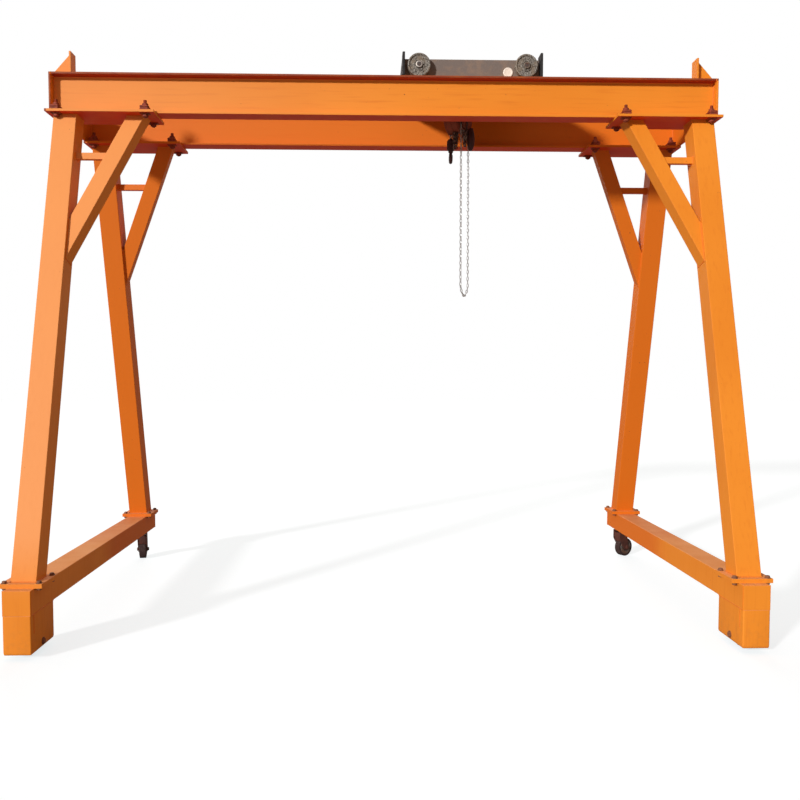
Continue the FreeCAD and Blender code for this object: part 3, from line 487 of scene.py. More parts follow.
def nutShape(centre, axis, look=boltLook):
    # a hexagon whose corners are cut by a cone at both faces
    wide, high, ease = look["acrossCorners"], look["high"], look["ease"]
    return spin([(0, 0), (wide - ease * 1.2, 0), (wide, ease), (wide, high - ease),
                 (wide - ease * 1.2, high), (0, high)], centre, axis, 24, 6)


def washerShape(centre, axis, look=boltLook):
    # a flat ring, closed across its hole
    outer, inner, thick = look["washer"], look["radius"], look["washerThick"]
    return spin([(0, 0), (inner, 0), (outer, 0), (outer, thick), (inner, thick), (0, thick)], centre, axis, 24)


def threadShape(centre, axis, length, look=boltLook):
    # a bar whose radius drops at every pitch: crests and roots in turn, with a coned tip
    steps = np.arange(2 * int(length / look["pitch"]) + 1)
    along = steps * look["pitch"] / 2
    radius = np.where(steps % 2, look["radius"] - look["root"], look["radius"])
    cone, rise = look["tip"]
    tip = [(look["radius"] - cone, along[-1] + rise), (0, along[-1] + rise)]
    return spin(np.vstack([[(0, 0)], np.column_stack([radius, along]), tip]), centre, axis, 16)


bolts = []
for points in solids("foot_bolts"):
    low, high = points.min(0), points.max(0)
    x, y = (low[:2] + high[:2]) / 2
    nutBase = high[2] - boltLook["tail"] - boltLook["high"]      # plate top
    headTop = low[2] + boltLook["high"]                          # plate underside
    grip, radius = nutBase - headTop, boltLook["radius"]
    bolts += [washerShape((x, y, nutBase), alongZ),
              nutShape((x, y, nutBase + boltLook["nutSeat"]), alongZ),
              threadShape((x, y, nutBase + boltLook["tailFrom"]), alongZ, boltLook["tail"]),
              washerShape((x, y, headTop), downZ),
              nutShape((x, y, headTop - boltLook["headSeat"]), downZ),
              spin([(0, 0), (radius, 0), (radius, grip), (0, grip)], (x, y, headTop), alongZ, 16)]
footBolts = build("footBolts", "root", "boltBrown", bolts)
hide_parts("foot_bolts")

girderLook = {"high": 0.250, "half": 0.059, "flange": 0.013, "web": 0.004}
clampLook = {
    "radius": 0.0105, "acrossCorners": 0.0195, "high": 0.015, "ease": 0.0020,
    "washer": 0.0240, "washerThick": 0.004,
    "pitch": 0.0026, "root": 0.0009, "tip": (0.0025, 0.0015),
    "bite": 0.022, "reach": 0.080,                # over the flange, and out from its edge
    "packingOff": 0.001, "packingTop": 0.013, "barFrom": 0.0131, "barTop": 0.027,
    "packingEase": 0.0015, "barEase": 0.003,
    "studOut": 0.040, "nutSeat": 0.003, "threadFrom": 0.012, "thread": 0.028,
    "plate": 0.0125,                              # the head plate that the stud goes through
    "backHalf": 0.030, "backIn": 0.014, "backOut": 0.024, "backThick": 0.009, "backEase": 0.0025,
    "lowNut": 0.0085, "lowThreadFrom": 0.020, "lowThread": 0.008,
}
girderY = abs(frontLow[1] + frontHigh[1]) / 2
bars, studs = [], []
for points in solids("girder_clamps"):
    low, high = points.min(0), points.max(0)
    middle, half = (low + high) / 2, (high[0] - low[0]) / 2
    nearest = math.copysign(girderY, middle[1])
    out = math.copysign(1, middle[1] - nearest)                  # away from the girder
    edge = nearest + out * girderLook["half"]
    x, y = middle[0], edge + out * clampLook["studOut"]
    far = edge + out * clampLook["reach"]
    packing = sorted((edge + out * clampLook["packingOff"], far))
    bar = sorted((edge - out * clampLook["bite"], far))
    back = sorted((y - out * clampLook["backIn"], y + out * clampLook["backOut"]))
    base, top = frontLow[2], frontLow[2] + clampLook["barTop"]
    under = base - clampLook["plate"]
    bars += [slab((x - half, packing[0], base), (x + half, packing[1], base + clampLook["packingTop"]),
                  clampLook["packingEase"]),
             slab((x - half, bar[0], base + clampLook["barFrom"]), (x + half, bar[1], top),
                  clampLook["barEase"]),
             slab((x - clampLook["backHalf"], back[0], under - clampLook["backThick"]),
                  (x + clampLook["backHalf"], back[1], under), clampLook["backEase"])]
    studs += [washerShape((x, y, top), alongZ, clampLook),
              nutShape((x, y, top + clampLook["nutSeat"]), alongZ, clampLook),
              threadShape((x, y, top + clampLook["threadFrom"]), alongZ, clampLook["thread"], clampLook),
              nutShape((x, y, under - clampLook["lowNut"]), downZ, clampLook),
              threadShape((x, y, under - clampLook["lowThreadFrom"]), downZ, clampLook["lowThread"], clampLook)]
clampBars = build("clampBars", "root", "clampRed", bars)
build("clampStuds", "root", "clampRed", studs)
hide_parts("girder_clamps")
print("bolts and clamps made")

weldLook = {
    "ripple": 0.0075, "sides": 6,
    "leg": 0.0048, "brace": 0.0042, "tie": 0.003,             # radius of each bead
    "seat": 0.0045, "seam": 0.0022, "upright": 0.0030, "girder": 0.0036,
    "stop": 0.004, "stopUpright": 0.0035,
    "seatInset": 0.004, "frontInset": 0.005,
    "uprightIn": 0.042, "uprightDrop": (0.004, 0.105),        # on the housing's inner side
    "girderInset": 0.002, "girderShare": 0.985, "faceInset": 0.001,
    "stopThick": 0.012, "stopInset": 0.003, "gusset": 0.006, "gussetInset": 0.004, "gussetTop": 0.008,
}


def bead(path, normal, radius, closed=True):
    # a weld: a small round section whose radius swells once in every ripple,
    # radius * (0.86 + 0.22 |sin(pi s / ripple)|)
    line = resample(path, weldLook["ripple"] / 3, closed)
    swell = 0.86 + 0.22 * np.abs(np.sin(np.arange(len(line)) * math.pi / 3))
    ring = circle(radius, weldLook["sides"])
    return carry(line, normal, ring[None] * swell[:, None, None], closed)


def endOf(points):
    # X of the end that lies furthest from the middle of the crane
    return points[np.argmax(np.abs(points[:, 0])), 0]


for side, sign in sides.items():
    beads = []
    for end in ends:
        leg = solids(f"leg_{end}_{side}")[0]
        for level in (leg[:, 2].min(), leg[:, 2].max()):
            beads.append(bead(footprint(leg, 2, level), alongZ, weldLook["leg"]))
    for brace in solids(f"knee_braces_{side}"):
        beads.append(bead(footprint(brace, 2, brace[:, 2].max()), alongZ, weldLook["brace"]))
        beads.append(bead(footprint(brace, 0, endOf(brace)), alongX, weldLook["brace"]))
    for tie in solids("tie_bars"):
        if tie[:, 0].mean() * sign > 0:
            beads.append(bead(footprint(tie, 0, endOf(tie)), alongX, weldLook["tie"]))
    build(f"legWelds_{side}", "root", "weldOrange", beads)

    beads = []
    sillLow, sillHigh = corners(f"sill_beam_{side}")
    for points in solids("sill_seat_plates"):
        low, high = points.min(0), points.max(0)
        run = (low[1] + weldLook["seatInset"], high[1] - weldLook["seatInset"])
        if low[0] * sign > 0:
            for x in (sillLow[0], sillHigh[0]):
                beads.append(bead([(x, y, low[2]) for y in run], alongZ, weldLook["seat"], False))
    houseLow, houseHigh = corners(f"wheel_housing_{side}")
    front = houseLow[1] + weldLook["frontInset"]
    ring = [(houseLow[0], front), (houseHigh[0], front), (houseHigh[0], houseHigh[1]),
            (houseLow[0], houseHigh[1])]
    beads.append(bead([(x, y, houseHigh[2]) for x, y in ring], alongZ, weldLook["seam"]))
    inner, y = (houseLow if sign > 0 else houseHigh)[0], houseLow[1] + weldLook["uprightIn"]
    beads.append(bead([(inner, y, houseHigh[2] - drop) for drop in weldLook["uprightDrop"]], alongX,
                      weldLook["upright"], False))
    for y in (sillLow[1], sillHigh[1]):
        cap = [(sillLow[0], y, sillLow[2]), (sillHigh[0], y, sillLow[2]), (sillHigh[0], y, sillHigh[2]),
               (sillLow[0], y, sillHigh[2])]
        beads.append(bead(cap, alongY, weldLook["seam"]))
    build(f"sillWelds_{side}", "root", "weldOrange", beads)

# the girders' outline where they meet the end plates, drawn in a little
half, web, flange, tall = [girderLook[key] for key in ("half", "web", "flange", "high")]
outline = [(-half, 0), (half, 0), (half, flange), (web, flange), (web, tall - flange), (half, tall - flange),
           (half, tall), (-half, tall), (-half, tall - flange), (-web, tall - flange), (-web, flange),
           (-half, flange)]
outline = [(y * weldLook["girderShare"], z + math.copysign(weldLook["girderInset"], tall / 2 - z))
           for y, z in outline]
beads = []
for side, sign in sides.items():
    plate = sign * min(abs(corner[0]) for corner in corners(f"end_plate_{side}"))
    for end in ends:
        low, high = corners(f"{end}_girder")
        middle = (low[1] + high[1]) / 2
        beads.append(bead([(plate - sign * weldLook["faceInset"], middle + y, low[2] + z) for y, z in outline],
                          alongX, weldLook["girder"]))
for points in solids("trolley_stops"):
    low, high = points.min(0), points.max(0)
    middle = (low + high) / 2
    sign = math.copysign(1, middle[0])
    near, lip = (low[0], high[0]) if sign > 0 else (high[0], low[0])
    back = near + sign * weldLook["stopThick"]
    for x in sorted((near, back)):
        run = (low[1] + weldLook["stopInset"], high[1] - weldLook["stopInset"])
        beads.append(bead([(x, y, low[2]) for y in run], alongZ, weldLook["stop"], False))
    for y in (middle[1] - weldLook["gusset"], middle[1] + weldLook["gusset"]):
        beads.append(bead([(back, y, low[2]), (lip - sign * weldLook["gussetInset"], y, low[2])], alongZ,
                          weldLook["stop"], False))
        beads.append(bead([(back, y, low[2] + weldLook["gussetInset"]), (back, y, high[2] - weldLook["gussetTop"])],
                          alongX, weldLook["stopUpright"], False))
build("girderWelds", "root", "weldOrange", beads)
print("welds made")

housingLook = {"corner": 0.007, "leastCorner": 0.001, "wall": 0.008, "lip": 0.018, "curl": 0.0065,
               "seam": 0.0022, "seamIn": 0.003}


def roundedRing(low, high, inset, height):
    # a level rectangle drawn in by an inset, its corners turned to corner radius - inset
    radius = max(housingLook["corner"] - inset, housingLook["leastCorner"])
    turn = np.linspace(0, math.pi / 2, 6)
    corner = np.stack([np.cos(turn), np.sin(turn)], axis=1) * radius
    half = (high[:2] - low[:2]) / 2 - inset - radius
    parts = [corner + half, corner[::-1] * (-1, 1) + half * (-1, 1), corner * (-1, -1) - half,
             corner[::-1] * (1, -1) + half * (1, -1)]
    ring = np.vstack(parts) + (low[:2] + high[:2]) / 2
    return np.column_stack([ring, np.full(len(ring), height)])


# the housings: a bent shell, open below, whose rings step down the outside, round the lower edge
# and up the inside
for side in sides:
    low, high = corners(f"wheel_housing_{side}")
    wall, lip = housingLook["wall"], housingLook["lip"]
    bend = np.linspace(0, math.pi / 2, 5)[1:]
    rows = [(housingLook["seamIn"], high[2]), (0.0, high[2] - housingLook["seam"]), (0.0, low[2] + lip)]
    rows += [(housingLook["curl"] * (1 - math.cos(a)), low[2] + lip * (1 - math.sin(a))) for a in bend]
    rows += [(wall, low[2] + housingLook["leastCorner"]), (wall, high[2] - wall)]
    rings = [roundedRing(low, high, inset, height) for inset, height in rows]
    housing = build(f"housing_{side}", "root", "frameOrange", [skin(np.array(rings))])
    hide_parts(f"wheel_housing_{side}")
print("housings made")

# the cap's profile is in shares of its radius and depth
capLook = {"radius": 0.0315, "deep": 0.007, "sunk": 0.001, "fromWheel": 0.110, "up": 0.025,
           "profile": [(1, 0.55), (0.94, 0.85), (0.80, 1), (0.74, 0.86), (0.30, 0.92), (0, 0.95)]}
channelLow, channelHigh = corners("trolley_channel_front")
wheelMiddle = {node: sum(corners(node)) / 2 for node in trolleyWheels}
capMiddle = (wheelMiddle["trolley_wheel_front_right"][0] - capLook["fromWheel"], channelLow[1],
             channelLow[2] + capLook["up"])
capRows = [(0, -capLook["sunk"]), (capLook["radius"], -capLook["sunk"])]
capRows += [(r * capLook["radius"], d * capLook["deep"]) for r, d in capLook["profile"]]
build("channelCap", "trolley", "capCream", [spin(capRows, capMiddle, (0, -1, 0), 40)])

wheelLook = {
    "rimBack": 0.003, "bolts": 6, "boltCircle": 0.047, "boltBack": 0.0062,
    "rim": [(0.061, -0.012), (0.061, 0.0), (0.0655, 0.0018), (0.070, 0.0), (0.070, -0.012)],
    "hub": [(0.024, -0.0062), (0.026, -0.0025), (0.0335, -0.0015), (0.036, -0.0030), (0.038, -0.0062)],
    "bolt": [(0, 0), (0.0062, 0), (0.0062, 0.0022), (0.0050, 0.0036), (0, 0.0036)],
    "axle": [(0.0, -0.004), (0.0205, -0.004), (0.0205, 0.0), (0.0190, 0.0008), (0.0140, 0.0008),
             (0.0125, -0.0010), (0.0, -0.0010)],
    "axleBack": 0.0005,
}


def outerEnd(node, wheel):
    # +1 or -1 for the side that a trolley wheel looks to, and Y of a node's outer face there
    sign = -1 if "front" in wheel else 1
    low, high = corners(node)
    return sign, low[1] if sign < 0 else high[1]


for node in trolleyWheels:
    sign, face = outerEnd(node, node)
    middle, out = wheelMiddle[node], (0, sign, 0)
    rim = np.array([middle[0], face - sign * wheelLook["rimBack"], middle[2]])
    rings = [spin(wheelLook["rim"], rim, out, 48), spin(wheelLook["hub"], rim, out, 40)]
    for turn in np.arange(wheelLook["bolts"]) / wheelLook["bolts"] * math.tau:
        spot = rim + np.array([math.cos(turn) * wheelLook["boltCircle"], -sign * wheelLook["boltBack"],
                               math.sin(turn) * wheelLook["boltCircle"]])
        rings.append(spin(wheelLook["bolt"], spot, out, 12, 6))
    build(f"wheelRings_{node.removeprefix('trolley_wheel_')}", node, "wheelIron", rings)

for node in trolleyWheels:
    sign, tip = outerEnd("trolley_axles", node)
    at = np.array([wheelMiddle[node][0], tip - sign * wheelLook["axleBack"], wheelMiddle[node][2]])
    metal = "brightSteel" if node.endswith("front_left") else "hubBrown"
    build(f"axleRing_{node.removeprefix('trolley_wheel_')}", "trolley", metal,
          [spin(wheelLook["axle"], at, (0, sign, 0), 36)])

# boards across the trolley's ends, from the front bumper to the rear one, with a folded rib
boardLook = {"thick": 0.008, "inset": 0.001, "play": 0.002, "foot": 0.012, "drop": 0.006, "rib": 0.034,
             "ribThick": 0.006, "ease": 0.0015}
trolleyMiddle = sum(corners("trolley_bumpers"))[0] / 2
boards = []
for sign in (-1, 1):
    pair = [points for points in solids("trolley_bumpers") if (points[:, 0].mean() - trolleyMiddle) * sign > 0]
    low = np.min([points.min(0) for points in pair], axis=0)
    high = np.max([points.max(0) for points in pair], axis=0)
    inner = min(np.abs(points[:, 1]).min() for points in pair) + boardLook["play"]
    x = low[0] + boardLook["inset"] if sign < 0 else high[0] - boardLook["inset"] - boardLook["thick"]
    core = x + boardLook["thick"] / 2
    base = low[2] + boardLook["foot"]
    boards.append(slab((x, -inner, base), (x + boardLook["thick"], inner, high[2] - boardLook["drop"]),
                       boardLook["ease"]))
    rib = sorted((core, core - sign * boardLook["rib"]))
    boards.append(slab((rib[0], -inner, base), (rib[1], inner, base + boardLook["ribThick"]), boardLook["ease"]))
build("endBoards", "trolley", "bumperBlack", boards)

# a thin deck lies on the cross tubes between the two channels
deckLook = {"thick": 0.004, "play": 0.002, "lift": 0.0003, "ease": 0.001}
deckSide = abs(channelHigh[1]) - deckLook["play"]
deckLow = corners("trolley_cross_members")[1][2] + deckLook["lift"]
deck = slab((channelLow[0] + deckLook["play"], -deckSide, deckLow),
            (channelHigh[0] - deckLook["play"], deckSide, deckLow + deckLook["thick"]), deckLook["ease"])
build("trolleyDeck", "trolley", "trolleySteel", [deck])
print("trolley made")

chainLook = {
    "hand": {"pitch": 0.0235, "wire": 0.0026, "wide": 0.0170},
    "load": {"pitch": 0.021, "wire": 0.0034, "wide": 0.0215},
    "bar": 0.004, "loopRadius": 0.060, "narrowing": 0.35,     # the hand chain's loop
    "shaftTurn": -30,                                         # degrees from the girders
    "loadAbove": 0.012, "loadBelow": 0.008,
}


def linkShape(centre, along, flat, look, steps=5, ring=5):
    # a chain link: a round wire carried along two half circles joined by straights, in the plane
    # of along and side = flat x along
    along, flat = unit(along), unit(flat)
    side = np.cross(flat, along)
    bend = look["wide"] / 2 - look["wire"]
    straight = look["pitch"] / 2 - bend
    turn = np.linspace(-math.pi / 2, math.pi / 2, steps)
    half = np.stack([straight + bend * np.cos(turn), bend * np.sin(turn)], axis=1)
    loop = np.vstack([half, -half])
    path = np.asarray(centre) + loop[:, :1] * along + loop[:, 1:] * side
    return carry(path, flat, circle(look["wire"], ring), True)


def chainShapes(path, normal, closed, look, twist=0.6):
    # links at even steps along a path, each turned a right angle from the last about its own direction
    line = resample(path, look["pitch"], closed)
    ahead = np.roll(line, -1, 0) - line
    if not closed:
        ahead = ahead[:-1]
    made = []
    for number, step in enumerate(ahead):
        travel = unit(step)
        level = unit(np.cross(normal, travel))
        turn = twist + (math.pi / 2) * (number % 2)
        flat = math.cos(turn) * level + math.sin(turn) * np.cross(travel, level)
        made.append(linkShape(line[number] + step / 2, travel, flat, look))
    return made


# the hand chain: a half circle over the hand wheel, and a narrowing one at the bottom
chainLow, chainHigh = corners("hand_chain")
axle = sum(corners("hand_wheel")) / 2
shaftTurn = math.radians(chainLook["shaftTurn"])
shaftAlong = np.array([math.cos(shaftTurn), math.sin(shaftTurn), 0])
across = np.array([-math.sin(shaftTurn), math.cos(shaftTurn), 0])
radius = chainLook["loopRadius"]
bottom = chainLow[2] + chainLook["bar"] + radius
arc = np.linspace(0, math.pi, 25)
over = np.stack([np.cos(arc) * radius, axle[2] + np.sin(arc) * radius], axis=1)
under = np.stack([-np.cos(arc) * radius * (1 - chainLook["narrowing"] * np.sin(arc)),
                  bottom - np.sin(arc) * radius], axis=1)
loop = np.vstack([over, under])
path = (chainLow + chainHigh) / 2 * (1, 1, 0) + loop[:, :1] * across + loop[:, 1:] * np.array(alongZ)
handChain = build("handChain", "trolley", "chainZinc",
                  chainShapes(path, shaftAlong, True, chainLook["hand"]), 60)
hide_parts("hand_chain")

loadLow, loadHigh = corners("load_chain")
loadX, loadY = (loadLow[:2] + loadHigh[:2]) / 2
path = [(loadX, loadY, loadHigh[2] + chainLook["loadAbove"]), (loadX, loadY, loadLow[2] - chainLook["loadBelow"])]
loadChain = build("loadChain", "trolley", "chainZinc",
                  chainShapes(path, alongX, False, chainLook["load"], 0.4), 60)
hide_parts("load_chain")

# the slack of the load chain hangs below the drum in two bunches: each loop is a line whose
# height is top - deep * (1 - (2 s - 1)^4), where s runs from 0 to 1 across its width
slackLook = {
    "bunches": [(0.0264, -0.020), (0.0828, -0.084)],          # X from the load chain, and Y
    "depths": [0.116, 0.100, 0.082], "halfWidth": 0.0155, "narrower": 0.12,
    "turn": 1.1, "squash": 0.5, "top": 3.170,
    "link": {"pitch": 0.01806, "wire": 0.0034, "wide": 0.0172},
}
slack = []
swing = 2 * np.linspace(0, 1, 30) - 1
for number, (aside, ahead) in enumerate(slackLook["bunches"]):
    for turn, deep in enumerate(slackLook["depths"]):
        angle = slackLook["turn"] * turn + number
        flat = np.array([math.cos(angle), math.sin(angle) * slackLook["squash"], 0])
        wide = slackLook["halfWidth"] * (1 - slackLook["narrower"] * turn)
        height = slackLook["top"] - deep * (1 - swing ** 4)
        line = (loadX + aside, ahead, 0) + swing[:, None] * wide * flat + height[:, None] * np.array(alongZ)
        slack += chainShapes(line, np.cross(flat, alongZ), False, slackLook["link"], 0.3 + turn)
# painted shade: the slack takes the dark copy of the chain's zinc
build("slackChain", "trolley", "chainDark", slack, 60)
print("chains made")

hoistX = sum(corners("hanger_pin"))[0] / 2


def onShaft(distance, aside=0.0, height=0.0):
    # the point beside the hoist's shaft: middle + shaft * distance + across * aside + up * height
    return np.array([hoistX, 0, axle[2] + height]) + shaftAlong * distance + across * aside


def boltRing(profile, count, distance, radius, out, start=0.0):
    # hexagon heads evenly round the shaft: aside = radius cos a, height = radius sin a
    turns = np.arange(count) / count * math.tau + start
    return [spin(profile, onShaft(distance, math.cos(turn) * radius, math.sin(turn) * radius), out, 18, 6)
            for turn in turns]


fittingLook = {
    "cover": {"count": 5, "distance": 0.066, "radius": 0.060, "start": 0.3},
    "coverBolt": [(0, 0), (0.007, 0), (0.007, 0.004), (0.0055, 0.0055), (0, 0.0055)],
    "boss": [(0, -0.002), (0.030, -0.002), (0.030, 0.004), (0.026, 0.007), (0.012, 0.009), (0, 0.009)],
    "bands": (-0.066, -0.028, 0.012),
    "band": [(0.086, -0.006), (0.0925, -0.005), (0.0935, 0.0), (0.0925, 0.005), (0.086, 0.006)],
    "drum": {"count": 6, "distance": -0.080, "radius": 0.062},
    "drumBolt": [(0, 0), (0.0075, 0), (0.0075, 0.004), (0.006, 0.0055), (0, 0.0055)],
}
fittings = boltRing(fittingLook["coverBolt"], out=shaftAlong, **fittingLook["cover"])
fittings.append(spin(fittingLook["boss"], onShaft(fittingLook["cover"]["distance"]), shaftAlong, 32))
fittings += [spin(fittingLook["band"], onShaft(distance), shaftAlong, 48) for distance in fittingLook["bands"]]
fittings += boltRing(fittingLook["drumBolt"], out=-shaftAlong, **fittingLook["drum"])
build("hoistFittings", "trolley", "hoistBrown", fittings)

# the bucket for spare chain: a tapered pot with a rolled rim, hung on a strap from the cover; its
# radius is radius * sin(pi (0.04 + 0.80 s))^0.55 * (1 - 0.22 s), fullest a third of the way up
bucketLook = {
    "along": 0.096, "aside": -0.020, "radius": 0.0300, "high": 0.142, "top": 3.180,
    "rim": [(1.12, -0.004), (1.12, 0.002), (0.9, 0.003), (0.85, -0.030), (0, -0.031)],   # mouth's share, height
    "strapAlong": 0.0675, "strap": [(-0.011, -0.030), (-0.011, 0.0), (-0.011, 0.056), (-0.006, 0.062)],
    "strapFaces": (-0.0012, 0.0018),
}
rise = np.linspace(0, 1, 16)
swell = bucketLook["radius"] * np.sin(np.pi * (0.04 + 0.80 * rise)) ** 0.55 * (1 - 0.22 * rise)
rim = [(swell[-1] * share, height) for share, height in bucketLook["rim"]]
wall = np.column_stack([swell, (rise - 1) * bucketLook["high"]])
mouth = onShaft(bucketLook["along"], bucketLook["aside"])
mouth[2] = bucketLook["top"]
pot = spin(np.vstack([[(0, -bucketLook["high"])], wall, rim]), mouth, alongZ, 36)
outline = np.array(bucketLook["strap"] + [(-x, z) for x, z in bucketLook["strap"][::-1]])
face = onShaft(bucketLook["strapAlong"], bucketLook["aside"])[None, :2] + outline[:, :1] * across[:2]
flat = np.column_stack([face, bucketLook["top"] + outline[:, 1]])
strap = skin(np.array([flat + shaftAlong * depth for depth in bucketLook["strapFaces"]]))
build("chainBucket", "trolley", "hookDark", [pot, strap])

hookLook = {
    "cheek": (0.0255, 0.014), "cheekInset": (0.012, 0.010), "cheekEase": 0.003,
    "pins": (0.026, 0.056),
    "pin": [(0, -0.031), (0.0062, -0.031), (0.0075, -0.0285), (0.0075, 0.0285), (0.0062, 0.031), (0, 0.031)],
    "bowl": 0.040, "latchStep": 0.003,
    "latch": [(0.0, 0.012, 0.026), (0.0, 0.004, 0.016), (0.0, -0.006, 0.007), (0.0, -0.016, 0.003)],
    "strip": [(-0.0012, -0.008), (0.0012, -0.008), (0.0012, 0.008), (-0.0012, 0.008)],
    "collar": [(0, 0), (0.0150, 0), (0.0160, 0.0015), (0.0160, 0.0060), (0.0150, 0.0075), (0, 0.0075)],
    "collarUnder": 0.0085,
}
hookBase = corners("load_hook")[0][2]
blockLow, blockHigh = corners("hook_block")
wide, deep = hookLook["cheek"]
cheek = slab((loadX - wide, loadY - deep, blockLow[2] + hookLook["cheekInset"][0]),
             (loadX + wide, loadY + deep, blockHigh[2] - hookLook["cheekInset"][1]), hookLook["cheekEase"])
pins = [spin(hookLook["pin"], (loadX, loadY, blockLow[2] + height), alongY, 20, 6) for height in hookLook["pins"]]
build("blockBolts", "trolley", "hookDark", [cheek] + pins)
# safety latch: a sprung strip from under the shank across the hook's throat
latch = np.array(hookLook["latch"]) + (loadX, loadY, hookBase + hookLook["bowl"])
build("hookLatch", "hook", "brightSteel",
      [carry(resample(latch, hookLook["latchStep"]), alongX, np.array(hookLook["strip"]))])
build("hookCollar", "hook", "boltSteel",
      [spin(hookLook["collar"], (loadX, loadY, blockLow[2] - hookLook["collarUnder"]), alongZ, 28)])
print("hoist and hook made")

frontLook = {
    "ringOut": 0.030, "ring": [(0.030, -0.002), (0.033, 0.003), (0.050, 0.003), (0.053, -0.002)],
    "washer": [(0, 0), (0.020, 0), (0.020, 0.0030), (0, 0.0030)],
}
casterLook = {
    "hubOut": 0.025, "hub": [(0.028, -0.002), (0.031, 0.0035), (0.054, 0.0035), (0.058, -0.002)],
    "reach": 0.0815, "half": 0.0302, "top": 0.1275, "arc": (142, 84), "ease": 0.003,   # crown, from the axle
    "back": (-0.078, 0.080), "nose": (0.006, 0.098), "noseTop": -0.004,
    "plate": 0.008, "boltOut": 0.047,
    "race": [(0.041, -0.012), (0.0455, -0.010), (0.047, -0.006), (0.0455, -0.002), (0.041, 0.0)],
    "bolt": [(0, 0), (0.0085, 0), (0.0085, 0.005), (0.007, 0.0065), (0, 0.0065)],
}


def facePair(profile, middle, along, distance):
    # a ring on each face of a wheel: middle + along * distance, and the same the other way
    return [spin(profile, middle + along * face * distance, along * face, 40) for face in (-1, 1)]


for side in sides:
    middle = sum(corners(f"front_wheel_{side}")) / 2
    build(f"frontWheelRings_{side}", f"front_wheel_{side}", "frontWheelIron",
          facePair(frontLook["ring"], middle, np.array(alongX), frontLook["ringOut"]))
    houseLow, houseHigh = corners(f"wheel_housing_{side}")
    washers = [spin(frontLook["washer"], (x, middle[1], middle[2]), (face, 0, 0), 28)
               for x, face in ((houseLow[0], -1), (houseHigh[0], 1))]
    build(f"axleWashers_{side}", "root", "boltBrown", washers)

    joint = joints[f"caster_wheel_turn_{side}"]
    centre, along = np.array(joint["pos_m"]), unit(joint["axis"])
    build(f"casterHub_{side}", f"caster_wheel_{side}", "frontWheelIron",
          facePair(casterLook["hub"], centre, along, casterLook["hubOut"]))

    # cast crown between the fork's plates: an arc over the wheel below, flat under the kingpin's nut
    swivel = np.array(joints[f"caster_swivel_{side}"]["pos_m"])
    ahead = unit((centre - swivel) * (1, 1, 0))
    arc = np.radians(np.linspace(*casterLook["arc"], 14))
    under = np.stack([np.cos(arc), np.sin(arc)], axis=1) * casterLook["reach"]
    top = [casterLook["nose"], (casterLook["noseTop"], casterLook["top"]), (casterLook["back"][0], casterLook["top"])]
    outline = np.vstack([[casterLook["back"]], under, top])
    flat = np.column_stack([centre[:2] + outline[:, :1] * ahead[:2], outline[:, 1] + centre[2]])
    crown = build(f"casterCrown_{side}", f"caster_fork_{side}", "casterBrown",
                  [skin(np.array([flat - along * casterLook["half"], flat + along * casterLook["half"]]))])
    roundEdges(crown, casterLook["ease"], 2, 40)

    under = corners("caster_plates")[1][2] - casterLook["plate"]
    race = [spin(casterLook["race"], (swivel[0], swivel[1], under), alongZ, 40)]
    for x in (-casterLook["boltOut"], casterLook["boltOut"]):
        for y in (-casterLook["boltOut"], casterLook["boltOut"]):
            race.append(spin(casterLook["bolt"], (swivel[0] + x, swivel[1] + y, under), downZ, 18, 6))
    build(f"casterRace_{side}", "root", "casterBrown", race)
print("wheels and casters made")

# the floor glows for the camera alone, so that it stays white but takes shadows
floorLook = {"size": 40.0, "colour": (0.34, 0.34, 0.34, 1), "rough": 0.9, "glow": (0.93, 0.985, 1.0, 1),
             "glowStrength": 0.77, "unseen": (0.40, 0.36, 0.33, 1)}
floorMesh = bpy.data.meshes.new("floor")
floorMesh.from_pydata([(x * floorLook["size"], y * floorLook["size"], 0)
                       for x, y in ((-1, -1), (1, -1), (1, 1), (-1, 1))], [], [(0, 1, 2, 3)])
floor = bpy.data.objects.new("floor", floorMesh)
bpy.context.scene.collection.objects.link(floor)
floorPaint = Paint("floorPaint")
floorMesh.materials.append(floorPaint.material)
for socket, key in (("Base Color", "colour"), ("Roughness", "rough"), ("Emission Color", "glow"),
                    ("Emission Strength", "glowStrength")):
    floorPaint.shader.inputs[socket].default_value = floorLook[key]
unseen = floorPaint.node("ShaderNodeBsdfDiffuse", None, {"Color": floorLook["unseen"]})
cameraRay = floorPaint.node("ShaderNodeLightPath", out="Is Camera Ray")
chosen = floorPaint.node("ShaderNodeMixShader", None, {0: cameraRay, 1: unseen})
floorPaint.tree.links.new(floorPaint.shader.outputs[0], chosen.socket.node.inputs[2])
floorPaint.tree.links.new(chosen.socket, floorPaint.tree.nodes["Material Output"].inputs[0])

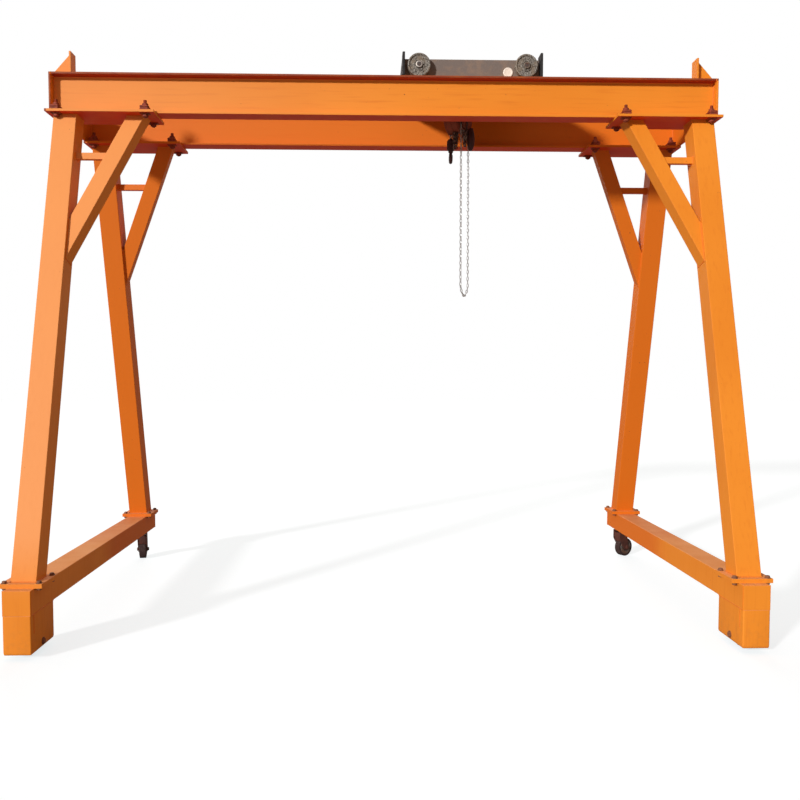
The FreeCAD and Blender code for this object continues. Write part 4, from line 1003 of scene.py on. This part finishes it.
# a white backdrop for the camera, and a warm sky that lights the crane
skyLook = {"backdrop": (1, 1, 1, 1), "colour": (1.0, 0.74, 0.62, 1), "strength": 0.37}
world = bpy.data.worlds.new("studio")
bpy.context.scene.world = world
world.use_nodes = True
nodes, join = world.node_tree.nodes, world.node_tree.links.new
backdrop, sky = nodes["Background"], nodes.new("ShaderNodeBackground")
backdrop.inputs["Color"].default_value = skyLook["backdrop"]
backdrop.inputs["Strength"].default_value = 1.0
sky.inputs["Color"].default_value = skyLook["colour"]
sky.inputs["Strength"].default_value = skyLook["strength"]
chosen = nodes.new("ShaderNodeMixShader")
join(nodes.new("ShaderNodeLightPath").outputs["Is Camera Ray"], chosen.inputs[0])
join(sky.outputs[0], chosen.inputs[1])
join(backdrop.outputs[0], chosen.inputs[2])
join(chosen.outputs[0], nodes["World Output"].inputs["Surface"])

lampLook = {
    "key": {"strength": 3.5, "soft": 5, "towards": (0.82, 1.0, -0.42)},
    "fill": {"strength": 0.75, "soft": 40, "towards": (0.10, -1.0, -0.50)},
}


def sun(name, strength, soft, towards):
    # a distant lamp, soft by an angle in degrees, that shines in a direction
    lamp = bpy.data.lights.new(name, "SUN")
    lamp.energy = strength
    lamp.angle = math.radians(soft)
    thing = bpy.data.objects.new(name, lamp)
    thing.rotation_euler = Vector(towards).to_track_quat("-Z", "Y").to_euler()
    bpy.context.scene.collection.objects.link(thing)


for name, look in lampLook.items():
    sun(name, **look)

cameraLook = {"place": (-0.1236, -5.7928, 1.5372), "turn": (87.09, 0, -1.71), "lens": 37.83, "sensor": 36,
              "shift": (0.0083, 0.0206)}
camera = bpy.data.objects.new("camera", bpy.data.cameras.new("camera"))
camera.location = cameraLook["place"]
camera.rotation_euler = [math.radians(angle) for angle in cameraLook["turn"]]
camera.data.lens = cameraLook["lens"]
camera.data.sensor_width = cameraLook["sensor"]
camera.data.shift_x, camera.data.shift_y = cameraLook["shift"]
bpy.context.scene.collection.objects.link(camera)
bpy.context.scene.camera = camera
bpy.context.scene.view_settings.view_transform = "Standard"
print("lights and camera made")
